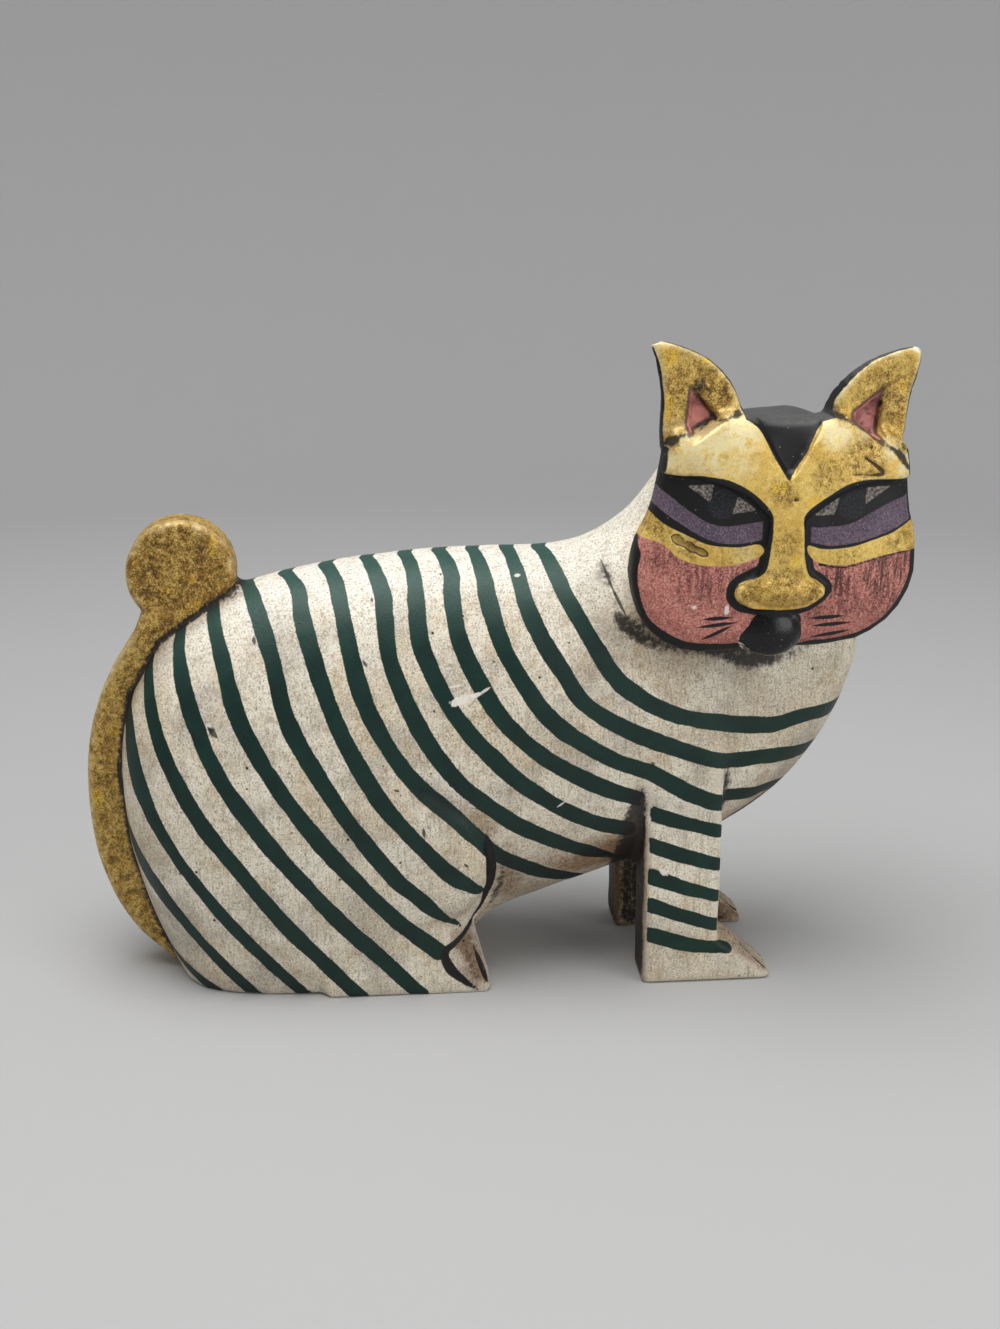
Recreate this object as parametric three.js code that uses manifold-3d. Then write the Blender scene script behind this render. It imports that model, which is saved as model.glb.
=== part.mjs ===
// A crouching cat carved from one block of wood: a loaf-shaped body on a flat seat, two block
// forelegs with wedge paws, a flat tail that runs up the rump to a round knob, and a broad
// mask of a face turned to the cat's right. Millimetres, +X is the way the body points,
// +Y is the cat's left, +Z is up, and the floor is at Z = 0.
import * as THREE from "three";
import { ConvexGeometry } from "three/addons/geometries/ConvexGeometry.js";
import { mergeVertices } from "three/addons/utils/BufferGeometryUtils.js";
import Module from "manifold-3d";

const wasm = await Module();
wasm.setup();

// Body. Each station is one slice of the loaf, from the rump to the crown of the neck: where the
// back and the belly are in side view, the half width, how square the slice is (2 is an
// ellipse), and the share of its width that it loses towards the back.
const BODY_STATIONS = [
  { back: [-125.5, 72], belly: [-125.5, 70], half: 1, square: 2.0, narrow: 0 },
  { back: [-121.5, 97], belly: [-122.5, 42], half: 20, square: 2.0, narrow: 0 },
  { back: [-110, 116], belly: [-114, 12], half: 29.5, square: 2.1, narrow: 0 },
  { back: [-86, 132.2], belly: [-96, -20], half: 36, square: 2.2, narrow: 0 },
  { back: [-52, 140], belly: [-60, -27], half: 38.5, square: 2.3, narrow: 0 },
  { back: [-24, 143], belly: [-28, -18], half: 37.5, square: 2.3, narrow: 0 },
  { back: [-4, 143.5], belly: [-7, 15], half: 36.5, square: 2.3, narrow: 0 },
  { back: [10, 143.5], belly: [10, 23], half: 36, square: 2.3, narrow: 0 },
  { back: [24, 145], belly: [36, 32], half: 36, square: 2.3, narrow: 0.08 },
  { back: [36, 151], belly: [72, 45], half: 36, square: 2.3, narrow: 0.2 },
  { back: [45, 160], belly: [100, 65], half: 34, square: 2.2, narrow: 0.34 },
  { back: [53, 173], belly: [118, 96], half: 30, square: 2.1, narrow: 0.4 },
  { back: [66, 184], belly: [122, 130], half: 25, square: 2.0, narrow: 0.35 },
  { back: [84, 184], belly: [110, 158], half: 14, square: 2.0, narrow: 0.2 },
];
const BODY_RINGS = 44;
const BODY_SIDES = 34;
const RUMP_CROWDING = 1.25; // rings stand closer together where the rump rounds off

// Thighs: a pillow on each flank, proud of it along the front and buried behind and below.
const THIGH = { at: [-47.6, 12.5, 49], half: [45, 25, 33], tuck: 6, toeOut: 3, flatness: 6 };
const THIGH_RINGS = 7;
const THIGH_SIDES = 32;

// Legs and feet. A pair's outer faces lie this far out from its middle plane, and the forelegs'
// plane stands a little to the cat's right. The left foreleg is stouter behind. A foot is a wedge:
// its flat flanks end at the shoulder and slant in to a ridge that runs down to the toe.
const FOREPAIR = { outer: 30.5, aside: -2.3, thick: 17.5 };
const HIND_PAIR = { outer: 34, aside: 0, thick: 18 };
const FORELEG = { rear: 45.4, front: 70.8, top: 84, edge: 1.2, stouter: 2.7 };
const FOREFOOT = {
  ...FOREPAIR,
  rear: 58,
  shoulder: [FORELEG.front, 14],
  ridge: [FORELEG.front, 19.6],
  flat: 87.9,
  toe: 89.1,
};
const HIND_FOOT = { ...HIND_PAIR, rear: -60, shoulder: [-22, 23], ridge: [-13, 30], flat: -7.5, toe: -5.5 };
const TOE = { inset: 0.9, eave: 1.5, top: 3.2, slitWidth: 1.4, slitLength: 6, slitDepth: 5 };
const ARMPIT = { at: [45, 43, 48], half: [17, 14.5, 36], across: 20, down: 14 };

// Tail: a flat strip up the middle of the rump, and the round knob that it ends in.
const TAIL = { thick: 15, edge: 2, inside: -86, root: 100 };
const TAIL_KNOB = { x: -102.4, z: 137.8, radius: 17.5, from: 222, to: -40 };
const TAIL_OUTSIDE = [
  [-108, 0],
  [-124.5, 17],
  [-134.5, 42],
  [-136, 74],
  [-130, 99],
  [-119, 117.5],
];

// Head, in its own frame: x across the face, y into the head, z up, origin on the face.
// Outlines give the right-hand half, from the bottom up.
const HEAD = { at: [82.5, -48, 156.8], turn: 2, roll: 2.2 };
const FACE_OUTLINE = [
  [0, -38],
  [17, -38.5],
  [30, -36.3],
  [39.5, -29],
  [45, -16],
  [44.2, -4],
  [40.5, 6],
  [38.6, 17],
  [36.5, 27],
  [27, 33.5],
  [15, 35.8],
  [7, 34.4],
  [0, 33.8],
];
const FACE = { rim: 10, flatness: 2.6, rings: 8, sides: 52 };
const FACE_SKEW = { jaw: 0.07, aside: 1.4, from: -5 };
// Behind its rim the face draws in: share of the outline that is left, and depth.
const PLATE_BACK = [
  [1, 13],
  [0.95, 19],
  [0.84, 25],
  [0.66, 30],
  [0.36, 34],
];
const SKULL = { at: [5, 37, 4], half: [34, 38, 30.6], across: 26, down: 16 };

// Face carving: brows and nose stand proud as one shape, with a deeper nose tip and a muzzle.
const MASK_OUTLINE = [
  [0, -23.6],
  [9, -23.2],
  [14, -20],
  [13.6, -16.6],
  [8, -12.8],
  [6.2, -8],
  [5.2, 5],
  [12, 11],
  [20, 14.6],
  [28, 16.6],
  [40, 17],
  [40, 26],
  [31, 30],
  [16, 40],
  [11, 40],
  [9, 31.5],
  [0, 16],
];
const MASK_PROUD = 2.6;
const NOSE_TIP = { at: [0, 2, -17.6], half: [13.5, 6.5, 6], across: 20, down: 12 };
const MUZZLE = { at: [-1, 4, -31.5], half: [10.2, 5.6, 8.4], across: 18, down: 10 };

// Ears: a thick leaf that thins towards its tip and its outer edge, with a three-cornered hollow
// in its front. The tips flare out, the right one most.
const EAR_OUTLINE = [
  [36, 18],
  [37.6, 28],
  [38.2, 40],
  [40.8, 53.4],
  [39.6, 55.8],
  [34, 55],
  [24, 50.4],
  [15.2, 40.4],
  [13, 30],
];
const EAR = { front: 9, thick: 13, tipThick: 5, outerShare: 0.45, edge: 1.2, steps: 24 };
const EAR_SKEW = { left: 0.3, right: 2.6, from: 46 };
const EAR_HOLLOW = [
  [29.8, 43],
  [20.2, 33.5],
  [29.8, 26],
];
const EAR_HOLLOW_DEPTH = 2.8;

const FLOOR_CUT = [400, 200, 60]; // all that lies below the floor is sawn off flat
const BEVEL_STEPS = 2;
const ARC_STEPS = 12;
const WELD = 1e-4; // points nearer than this are one

const WOOD = new THREE.MeshStandardMaterial({ color: 0xd9cfb8, roughness: 0.5, metalness: 0 });

const radians = THREE.MathUtils.degToRad;
const vectors = (points) => points.map(([x, z]) => new THREE.Vector3(x, 0, z));
const signedPower = (value, power) => Math.sign(value) * Math.abs(value) ** power;
const domeHeight = (reach, flatness) => (1 - reach ** flatness) ** (1 / flatness);

// Closed skin over a row of rings of points, drawn to a point at both ends. Seen from the last
// tip, each ring runs anticlockwise.
function skin(rings, firstTip, lastTip) {
  const sides = rings[0].length;
  const points = [firstTip, ...rings.flat(), lastTip];
  const index = [];
  const at = (ring, side) => 1 + ring * sides + (side % sides);
  for (let side = 0; side < sides; side++) {
    index.push(0, at(0, side + 1), at(0, side));
    for (let ring = 0; ring + 1 < rings.length; ring++) {
      index.push(at(ring, side), at(ring, side + 1), at(ring + 1, side + 1));
      index.push(at(ring, side), at(ring + 1, side + 1), at(ring + 1, side));
    }
    index.push(points.length - 1, at(rings.length - 1, side), at(rings.length - 1, side + 1));
  }
  return new THREE.BufferGeometry().setFromPoints(points).setIndex(index);
}

const centreOf = (ring) =>
  ring.reduce((sum, point) => sum.add(point), new THREE.Vector3()).divideScalar(ring.length);

function bodyGeometry() {
  const back = new THREE.CatmullRomCurve3(vectors(BODY_STATIONS.map((station) => station.back)));
  const belly = new THREE.CatmullRomCurve3(vectors(BODY_STATIONS.map((station) => station.belly)));
  const form = new THREE.CatmullRomCurve3(
    BODY_STATIONS.map(({ half, square, narrow }) => new THREE.Vector3(half, square, narrow)),
  );
  const rings = [];
  for (let i = 0; i <= BODY_RINGS; i++) {
    const t = (i / BODY_RINGS) ** RUMP_CROWDING;
    const top = back.getPoint(t);
    const bottom = belly.getPoint(t);
    const { x: half, y: square, z: narrow } = form.getPoint(t);
    const middle = top.clone().add(bottom).divideScalar(2);
    const rise = top.clone().sub(bottom).divideScalar(2);
    const ring = [];
    for (let side = 0; side < BODY_SIDES; side++) {
      const angle = (2 * Math.PI * side) / BODY_SIDES;
      const up = signedPower(Math.sin(angle), 2 / square);
      const out = signedPower(Math.cos(angle), 2 / square);
      const width = half * (1 - (narrow * (1 + up)) / 2);
      ring.push(middle.clone().addScaledVector(rise, up).setY(width * out));
    }
    rings.push(ring);
  }
  return skin(rings, centreOf(rings[0]), centreOf(rings.at(-1)));
}

function thighGeometry(side) {
  const rings = [];
  for (let i = 0; i < THIGH_RINGS; i++) {
    const reach = Math.cos(((i / THIGH_RINGS) * Math.PI) / 2);
    const height = side * domeHeight(reach, THIGH.flatness);
    const ring = [];
    for (let k = 0; k < THIGH_SIDES; k++) {
      const turn = (-side * 2 * Math.PI * k) / THIGH_SIDES;
      ring.push(new THREE.Vector3(reach * Math.cos(turn), height, reach * Math.sin(turn)));
    }
    rings.push(ring);
  }
  const geometry = skin(rings, new THREE.Vector3(), new THREE.Vector3(0, side, 0));
  geometry.scale(...THIGH.half);
  geometry.rotateX(-side * radians(THIGH.tuck)).rotateZ(side * radians(THIGH.toeOut));
  const [x, y, z] = THIGH.at;
  return geometry.translate(x, side * y, z);
}

// A flat outline in side view, extruded across the figure with softened edges.
function sideExtrusion(outline, thick, edge, middle) {
  const geometry = new THREE.ExtrudeGeometry(outline, {
    depth: thick - 2 * edge,
    bevelSize: edge,
    bevelThickness: edge,
    bevelOffset: -edge,
    bevelSegments: BEVEL_STEPS,
    curveSegments: ARC_STEPS,
  });
  return geometry.rotateX(Math.PI / 2).translate(0, middle + thick / 2 - edge, 0);
}

const middleOf = ({ outer, aside, thick }, side) => side * (outer - thick / 2) + aside;

function forelegGeometry(side) {
  const { front, top, edge } = FORELEG;
  const rear = FORELEG.rear - (side > 0 ? FORELEG.stouter : 0);
  const outline = new THREE.Shape();
  outline.moveTo(rear, -edge).lineTo(front, -edge).lineTo(front, top).lineTo(rear, top).closePath();
  return sideExtrusion(outline, FOREPAIR.thick, edge, middleOf(FOREPAIR, side));
}

function footGeometry(foot, side) {
  const middle = middleOf(foot, side);
  const points = [
    [foot.ridge[0], middle, foot.ridge[1]],
    [foot.toe, middle, TOE.top],
  ];
  for (const edge of [-1, 1]) {
    const flank = middle + (edge * foot.thick) / 2;
    const corner = flank - edge * TOE.inset;
    points.push([foot.rear, flank, 0], [foot.rear, flank, foot.shoulder[1]]);
    points.push([foot.shoulder[0], flank, foot.shoulder[1]], [foot.flat, flank, 0]);
    points.push([foot.toe, corner, 0], [foot.toe, corner, TOE.eave]);
  }
  return new ConvexGeometry(points.map((point) => new THREE.Vector3(...point)));
}

// The cut that parts the toes, along the lower end of the foot's ridge.
function toeSlitGeometry(foot, side) {
  const slope = Math.atan2(foot.ridge[1] - TOE.top, foot.toe - foot.ridge[0]);
  const geometry = new THREE.BoxGeometry(2 * TOE.slitLength, TOE.slitWidth, TOE.slitDepth);
  geometry.rotateY(slope);
  return geometry.translate(foot.toe, middleOf(foot, side), TOE.top);
}

// The hollow behind a foreleg, where the flank turns in to the leg.
function armpitGeometry(side) {
  const [x, y, z] = ARMPIT.at;
  return ballGeometry({ ...ARMPIT, at: [x, side * y, z] });
}

function tailGeometry() {
  const { x, z, radius, from, to } = TAIL_KNOB;
  const outline = new THREE.Shape();
  outline.moveTo(...TAIL_OUTSIDE[0]);
  outline.splineThru(TAIL_OUTSIDE.slice(1).map((point) => new THREE.Vector2(...point)));
  outline.absarc(x, z, radius, radians(from), radians(to), true);
  outline.lineTo(TAIL.inside, TAIL.root).lineTo(TAIL.inside, 0).closePath();
  return sideExtrusion(outline, TAIL.thick, TAIL.edge, 0);
}

// Half an outline, drawn from bottom to top on the right, closed by its mirror image.
function mirrored(half) {
  const left = half.slice(1, -1).map(([x, z]) => [-x, z]);
  return [...half, ...left.reverse()];
}

// The plate of the face: its outline domed at the front and drawn in behind. The jaw slants, lower
// on the cat's right, and above the cheek the face leans to the cat's left.
function faceGeometry() {
  const outline = new THREE.CatmullRomCurve3(vectors(mirrored(FACE_OUTLINE)), true);
  const rim = outline.getPoints(FACE.sides).slice(1).reverse();
  const chin = FACE_OUTLINE[0][1];
  const widest = Math.max(...FACE_OUTLINE.map(([x]) => x));
  for (const point of rim) {
    const above = THREE.MathUtils.clamp(1 - point.z / FACE_SKEW.from, 0, 1);
    point.z += FACE_SKEW.jaw * point.x * Math.max(0, point.z / chin);
    point.x += FACE_SKEW.aside * above * Math.abs(point.x / widest);
  }
  const rings = [];
  const addRing = (share, depth) =>
    rings.push(rim.map((point) => point.clone().multiplyScalar(share).setY(depth)));
  for (let i = 1; i <= FACE.rings; i++) {
    const share = Math.sin(((i / FACE.rings) * Math.PI) / 2);
    addRing(share, FACE.rim * (1 - domeHeight(share, FACE.flatness)));
  }
  for (const [share, depth] of PLATE_BACK) addRing(share, depth);
  const deepest = PLATE_BACK.at(-1)[1];
  return skin(rings, new THREE.Vector3(), new THREE.Vector3(0, deepest, 0));
}

// A flat shape in the plane of the face, extruded into the head.
function faceExtrusion(points, front, depth, edge) {
  const outline = new THREE.Shape(points.map(([x, z]) => new THREE.Vector2(x, z)));
  const geometry = new THREE.ExtrudeGeometry(outline, {
    depth: depth - 2 * edge,
    bevelEnabled: edge > 0,
    bevelSize: edge,
    bevelThickness: edge,
    bevelOffset: -edge,
    bevelSegments: BEVEL_STEPS,
  });
  return geometry.rotateX(Math.PI / 2).translate(0, front + depth - edge, 0);
}

function earGeometry(side) {
  const curve = new THREE.CatmullRomCurve3(vectors(EAR_OUTLINE));
  const outline = curve.getPoints(EAR.steps).map(({ x, z }) => [side * x, z]);
  const geometry = faceExtrusion(outline, EAR.front, EAR.thick, EAR.edge);
  const root = EAR_OUTLINE[0][1];
  const tip = Math.max(...EAR_OUTLINE.map(([, z]) => z));
  const flare = side > 0 ? EAR_SKEW.left : EAR_SKEW.right;
  const inner = Math.min(...EAR_OUTLINE.map(([x]) => x));
  const outer = Math.max(...EAR_OUTLINE.map(([x]) => x));
  const position = geometry.getAttribute("position");
  for (let i = 0; i < position.count; i++) {
    const rise = (position.getZ(i) - root) / (tip - root);
    const high = Math.max(0, (position.getZ(i) - EAR_SKEW.from) / (tip - EAR_SKEW.from));
    const out = (Math.abs(position.getX(i)) - inner) / (outer - inner);
    const { lerp } = THREE.MathUtils;
    const thin = lerp(1, EAR.tipThick / EAR.thick, rise) * lerp(1, EAR.outerShare, out);
    position.setY(i, EAR.front + (position.getY(i) - EAR.front) * thin);
    position.setX(i, position.getX(i) + side * flare * high ** 2);
  }
  return geometry;
}

function earHollowGeometry(side) {
  const outline = EAR_HOLLOW.map(([x, z]) => [side * x, z]);
  return faceExtrusion(outline, 0, EAR.front + EAR_HOLLOW_DEPTH, 0);
}

function ballGeometry({ at, half, across, down }) {
  return new THREE.SphereGeometry(1, across, down).scale(...half).translate(...at);
}

const formOf = (geometry) => new THREE.Mesh(geometry, WOOD);

function solidOf(form) {
  const geometry = new THREE.BufferGeometry();
  geometry.setAttribute("position", form.geometry.getAttribute("position"));
  geometry.setIndex(form.geometry.getIndex());
  const merged = mergeVertices(geometry.applyMatrix4(form.matrixWorld), WELD);
  const vertProperties = merged.getAttribute("position").array;
  const triVerts = new Uint32Array(merged.getIndex().array);
  return new wasm.Manifold(new wasm.Mesh({ numProp: 3, vertProperties, triVerts }));
}

// All of a group's forms as one solid, each where its groups place it.
function joined(group) {
  group.updateMatrixWorld(true);
  const solids = [];
  group.traverse((form) => {
    if (form.isMesh) solids.push(solidOf(form));
  });
  return solids.reduce((whole, solid) => whole.add(solid));
}

function geometryOf(solid) {
  const { vertProperties, triVerts } = solid.getMesh();
  const geometry = new THREE.BufferGeometry();
  geometry.setAttribute("position", new THREE.BufferAttribute(vertProperties, 3));
  return geometry.setIndex(new THREE.BufferAttribute(triVerts, 1));
}

// Brows and nose: what the mask's outline cuts from a copy of the face moved forward.
function maskGeometry() {
  const reach = FACE.rim + MASK_PROUD;
  const prism = formOf(faceExtrusion(mirrored(MASK_OUTLINE), -MASK_PROUD, reach, 0));
  const forward = formOf(faceGeometry().translate(0, -MASK_PROUD, 0));
  return geometryOf(solidOf(forward).intersect(solidOf(prism)));
}

function headGroup(...geometries) {
  const group = new THREE.Group();
  group.position.set(...HEAD.at);
  group.rotation.set(0, radians(HEAD.roll), radians(HEAD.turn), "ZYX");
  group.add(...geometries.map(formOf));
  return group;
}

const armpits = new THREE.Group();
for (const side of [-1, 1]) armpits.add(formOf(armpitGeometry(side)));
const torso = geometryOf(solidOf(formOf(bodyGeometry())).subtract(joined(armpits)));

const blank = new THREE.Group();
blank.add(formOf(torso), formOf(tailGeometry()));
const head = headGroup(faceGeometry(), maskGeometry());
for (const form of [SKULL, NOSE_TIP, MUZZLE]) head.add(formOf(ballGeometry(form)));
blank.add(head);

const waste = new THREE.Group();
waste.add(formOf(new THREE.BoxGeometry(...FLOOR_CUT).translate(0, 0, -FLOOR_CUT[2] / 2)));

for (const side of [-1, 1]) {
  blank.add(formOf(thighGeometry(side)), formOf(forelegGeometry(side)));
  head.add(formOf(earGeometry(side)));
  waste.add(headGroup(earHollowGeometry(side)));
  for (const foot of [FOREFOOT, HIND_FOOT]) {
    blank.add(formOf(footGeometry(foot, side)));
    waste.add(formOf(toeSlitGeometry(foot, side)));
  }
}

// The origin is under the middle of the figure, on the floor.
const carved = geometryOf(joined(blank).subtract(joined(waste)));
carved.computeBoundingBox();
const middle = carved.boundingBox.getCenter(new THREE.Vector3());
carved.translate(-middle.x, -middle.y, 0);
carved.computeVertexNormals();

const cat = formOf(carved);
cat.name = "cat";
const figurine = new THREE.Group();
figurine.add(cat);

export default figurine;
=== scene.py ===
import math

import bpy
import numpy as np
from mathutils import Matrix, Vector
from mathutils.bvhtree import BVHTree
from mathutils.kdtree import KDTree


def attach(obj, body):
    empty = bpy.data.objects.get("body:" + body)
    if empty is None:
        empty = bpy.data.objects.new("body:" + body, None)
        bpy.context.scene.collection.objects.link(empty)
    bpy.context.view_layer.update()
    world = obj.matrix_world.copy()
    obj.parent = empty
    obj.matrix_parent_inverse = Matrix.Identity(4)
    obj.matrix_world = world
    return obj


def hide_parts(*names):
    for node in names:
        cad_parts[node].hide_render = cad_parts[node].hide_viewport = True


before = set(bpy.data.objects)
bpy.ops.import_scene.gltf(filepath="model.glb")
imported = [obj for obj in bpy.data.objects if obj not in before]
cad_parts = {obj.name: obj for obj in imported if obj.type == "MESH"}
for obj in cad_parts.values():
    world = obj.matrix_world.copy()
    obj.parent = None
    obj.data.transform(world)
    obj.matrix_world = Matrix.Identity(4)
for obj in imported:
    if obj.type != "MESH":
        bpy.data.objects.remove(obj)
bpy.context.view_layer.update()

# Camera
# The photograph's view: a little to the left of square on, looking down on the back, with a lens of
# normal length about half a metre away.
AIM = Vector((0.0048, 0.0007, 0.105))
VIEW_DISTANCE = 0.560
VIEW_AZIMUTH = math.radians(-5)
VIEW_ELEVATION = math.radians(17)
LENS = 45.97

towards_camera = Vector((
    math.sin(VIEW_AZIMUTH) * math.cos(VIEW_ELEVATION),
    -math.cos(VIEW_AZIMUTH) * math.cos(VIEW_ELEVATION),
    math.sin(VIEW_ELEVATION),
))
bpy.ops.object.camera_add(location=AIM + VIEW_DISTANCE * towards_camera)
camera = bpy.context.object
camera.name = "camera"
camera.rotation_euler = (-towards_camera).to_track_quat("-Z", "Y").to_euler()
camera.data.sensor_fit = "VERTICAL"
camera.data.sensor_height = 36
camera.data.lens = LENS
camera.data.clip_start = 0.01
bpy.context.scene.camera = camera

# Blank
# One block of pale wood, sawn out and carved to the cat's form. The solid gives that form, and here its
# facets become an even skin of small quads, finer on the face, tail and feet, with the rounds sanded.
MM = 0.001
SKIN = 2.06
CREASE_ANGLE = math.radians(34)
CREASE_KEEP = 1.2
CREASE_FADE = 5.0
SANDING = 0.5
LAST_ROUNDS = 2
MID = 6.42

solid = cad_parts["cat"]
cat = bpy.data.objects.new("painted_cat", solid.data.copy())
bpy.context.collection.objects.link(cat)
bpy.ops.object.select_all(action="DESELECT")
cat.select_set(True)
bpy.context.view_layer.objects.active = cat
cat.data.materials.clear()


def apply_modifier(kind, **settings):
    """Adds a modifier to the cat and applies it."""
    modifier = cat.modifiers.new(kind.lower(), kind)
    for name, value in settings.items():
        setattr(modifier, name, value)
    bpy.ops.object.modifier_apply(modifier=modifier.name)


def read(items, name, width=1):
    """One property of all vertices, edges or faces as an array."""
    values = np.zeros(len(items) * width, np.float64 if name != "vertices" else np.int64)
    items.foreach_get(name, values)
    return values.reshape(-1, width) if width > 1 else values


def places():
    """The places of the cat's vertices in mm."""
    return read(cat.data.vertices, "co", 3) / MM


def weigh(name, weights):
    """Makes a vertex group with one weight for each vertex."""
    group = cat.vertex_groups.new(name=name)
    for step in np.unique(np.round(weights, 2)):
        members = np.flatnonzero(np.round(weights, 2) == step)
        group.add(members.tolist(), float(step), "REPLACE")
    return name


def fade(value, start, end):
    """A smooth step from 0 at start to 1 at end."""
    share = np.clip((value - start) / (end - start), 0, 1)
    return share * share * (3 - 2 * share)


def between(value, limits):
    """Whether a value lies between two limits."""
    return (value > limits[0]) & (value < limits[1])


def tree_of(points):
    """A search tree over points in mm."""
    tree = KDTree(len(points))
    for index, point in enumerate(points):
        tree.insert(point, index)
    tree.balance()
    return tree


# Sharp edges that the carver left stay sharp: leg corners, ear rims, the mask and the tail's strip
bpy.ops.object.mode_set(mode="EDIT")
bpy.context.tool_settings.mesh_select_mode = (False, True, False)
bpy.ops.mesh.select_all(action="SELECT")
bpy.ops.mesh.remove_doubles(threshold=0.01 * MM)
bpy.ops.mesh.select_all(action="DESELECT")
bpy.ops.mesh.edges_select_sharp(sharpness=CREASE_ANGLE)
bpy.ops.object.mode_set(mode="OBJECT")
sharp = read(cat.data.edges, "select").astype(bool)
ends = places()[read(cat.data.edges, "vertices", 2)[sharp]]
crease_points = []
for start, end in ends:
    count = max(2, int(np.linalg.norm(end - start)) + 1)
    crease_points.extend(start + (end - start) * share for share in np.linspace(0, 1, count))
crease_tree = tree_of(crease_points)

# Head frame: across the face, up the face and into the head, from the middle of the face
HEAD_AT = np.array((87.26, -41.58, 156.8))
HEAD_TURN = math.radians(2)
HEAD_ROLL = math.radians(2.2)
ACROSS = np.array((
    math.cos(HEAD_ROLL) * math.cos(HEAD_TURN),
    math.cos(HEAD_ROLL) * math.sin(HEAD_TURN),
    -math.sin(HEAD_ROLL),
))
INTO = np.array((-math.sin(HEAD_TURN), math.cos(HEAD_TURN), 0))
UP = np.cross(ACROSS, INTO)


def on_head(points):
    """Places in mm as across, up and into the head."""
    away = points - HEAD_AT
    return away @ ACROSS, away @ UP, away @ INTO


def from_side(start, end, a, b):
    """Distance of the places (a, b) from a straight side, and how far along it they lie, 0 to 1."""
    run, rise = end[0] - start[0], end[1] - start[1]
    share = np.clip(((a - start[0]) * run + (b - start[1]) * rise) / (run ** 2 + rise ** 2), 0, 1)
    return np.hypot(a - start[0] - share * run, b - start[1] - share * rise), share


def inside_outline(line, a, b):
    """Distance of the places (a, b) from a closed line, less than 0 inside it."""
    nearest = np.full(len(a), np.inf)
    inside = np.zeros(len(a), bool)
    for start, end in zip(line, np.roll(line, -1, axis=0)):
        nearest = np.minimum(nearest, from_side(start, end, a, b)[0])
        run, rise = end - start
        inside ^= ((start[1] > b) != (end[1] > b)) & (a < start[0] + (b - start[1]) * run / (rise or 1))
    return np.where(inside, -nearest, nearest)


# Corner where the tail's strip meets the rump, as an outline of all that lies behind it
TAIL_SEAM = (
    (-70, 160), (-79, 134.5), (-105.2, 116.6), (-116.7, 97.6), (-120.9, 72),
    (-117.7, 42), (-109.2, 12), (-98, -8), (-190, -8), (-190, 160),
)
TAIL_HALF = 9.5


def behind_tail_seam(points):
    """Distance of places from the tail, less than 0 on it."""
    behind = inside_outline(np.array(TAIL_SEAM), points[:, 0], points[:, 2])
    return np.maximum(behind, np.abs(points[:, 1] - MID) - TAIL_HALF)


apply_modifier("REMESH", mode="VOXEL", voxel_size=SKIN * MM, adaptivity=0)


def refine(chosen):
    """Cuts the chosen faces of the skin once each way."""
    for items in (cat.data.vertices, cat.data.edges):
        items.foreach_set("select", np.zeros(len(items), bool))
    cat.data.polygons.foreach_set("select", chosen)
    bpy.context.tool_settings.mesh_select_mode = (False, False, True)
    bpy.ops.object.mode_set(mode="EDIT")
    bpy.ops.mesh.subdivide(number_cuts=1)
    bpy.ops.object.mode_set(mode="OBJECT")


middles = read(cat.data.polygons, "center", 3) / MM
across, up, into = on_head(middles)
x, y, z = middles.T
on_front_of_head = (np.abs(across) < 50) & (np.abs(up + 2) < 62) & (into < 18)
on_forelegs = (z < 58) & (np.abs(x - 72) < 28)
on_hind_feet = (z < 62) & (np.abs(x + 8) < 16) & (np.abs(y - MID) > 22)
on_tail = behind_tail_seam(middles) < 2
refine((on_front_of_head | on_forelegs | on_hind_feet | on_tail) & (z > 0.5))
across, up, into = on_head(read(cat.data.polygons, "center", 3) / MM)
refine((np.abs(across) < 48) & between(up, (-44, 37)) & (into < 9))

apply_modifier("SHRINKWRAP", target=solid, wrap_method="NEAREST_SURFACEPOINT")
skin = places()
crease_away = np.array([crease_tree.find(point)[2] for point in skin])
across, up, into = on_head(skin)
face_front = fade(into, 14, 8) * fade(np.abs(across), 52, 46) * fade(np.abs(up + 2), 46, 38)
head = fade(np.abs(across), 60, 50) * fade(up, -50, -42) * fade(into, 84, 76)
nape = head * fade(into, 22, 30) * fade(up, 60, 45)
between_brows = fade(np.abs(across + 0.6) - 0.6 * (up - 17), 1, -2)
crown = between_brows * fade(np.abs(across + 1), 20, 13) * fade(up, 25, 30) * head
muzzle = face_front * fade(np.hypot((across + 1) / 14, (up + 34) / 10), 1, 0.7)
shoulder = fade(skin[:, 2], 74, 79) * fade(np.abs(skin[:, 0] - 62), 20, 14) * (1 - head)
roundness = np.maximum(fade(crease_away, CREASE_KEEP, CREASE_FADE) * (1 - face_front), shoulder)
roundness *= fade(behind_tail_seam(skin), -1, 2)
polish = face_front * fade(crease_away, 1.0, 3.5)
sanded = (
    ("round", roundness, 18), ("nape", nape, 60), ("crown", crown, 140), ("muzzle", muzzle, 30),
    ("polish", polish, 60),
)
for name, weights, rounds in sanded:
    apply_modifier("SMOOTH", factor=SANDING, iterations=rounds, vertex_group=weigh(name, weights))
apply_modifier("SMOOTH", factor=SANDING, iterations=LAST_ROUNDS)

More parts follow.
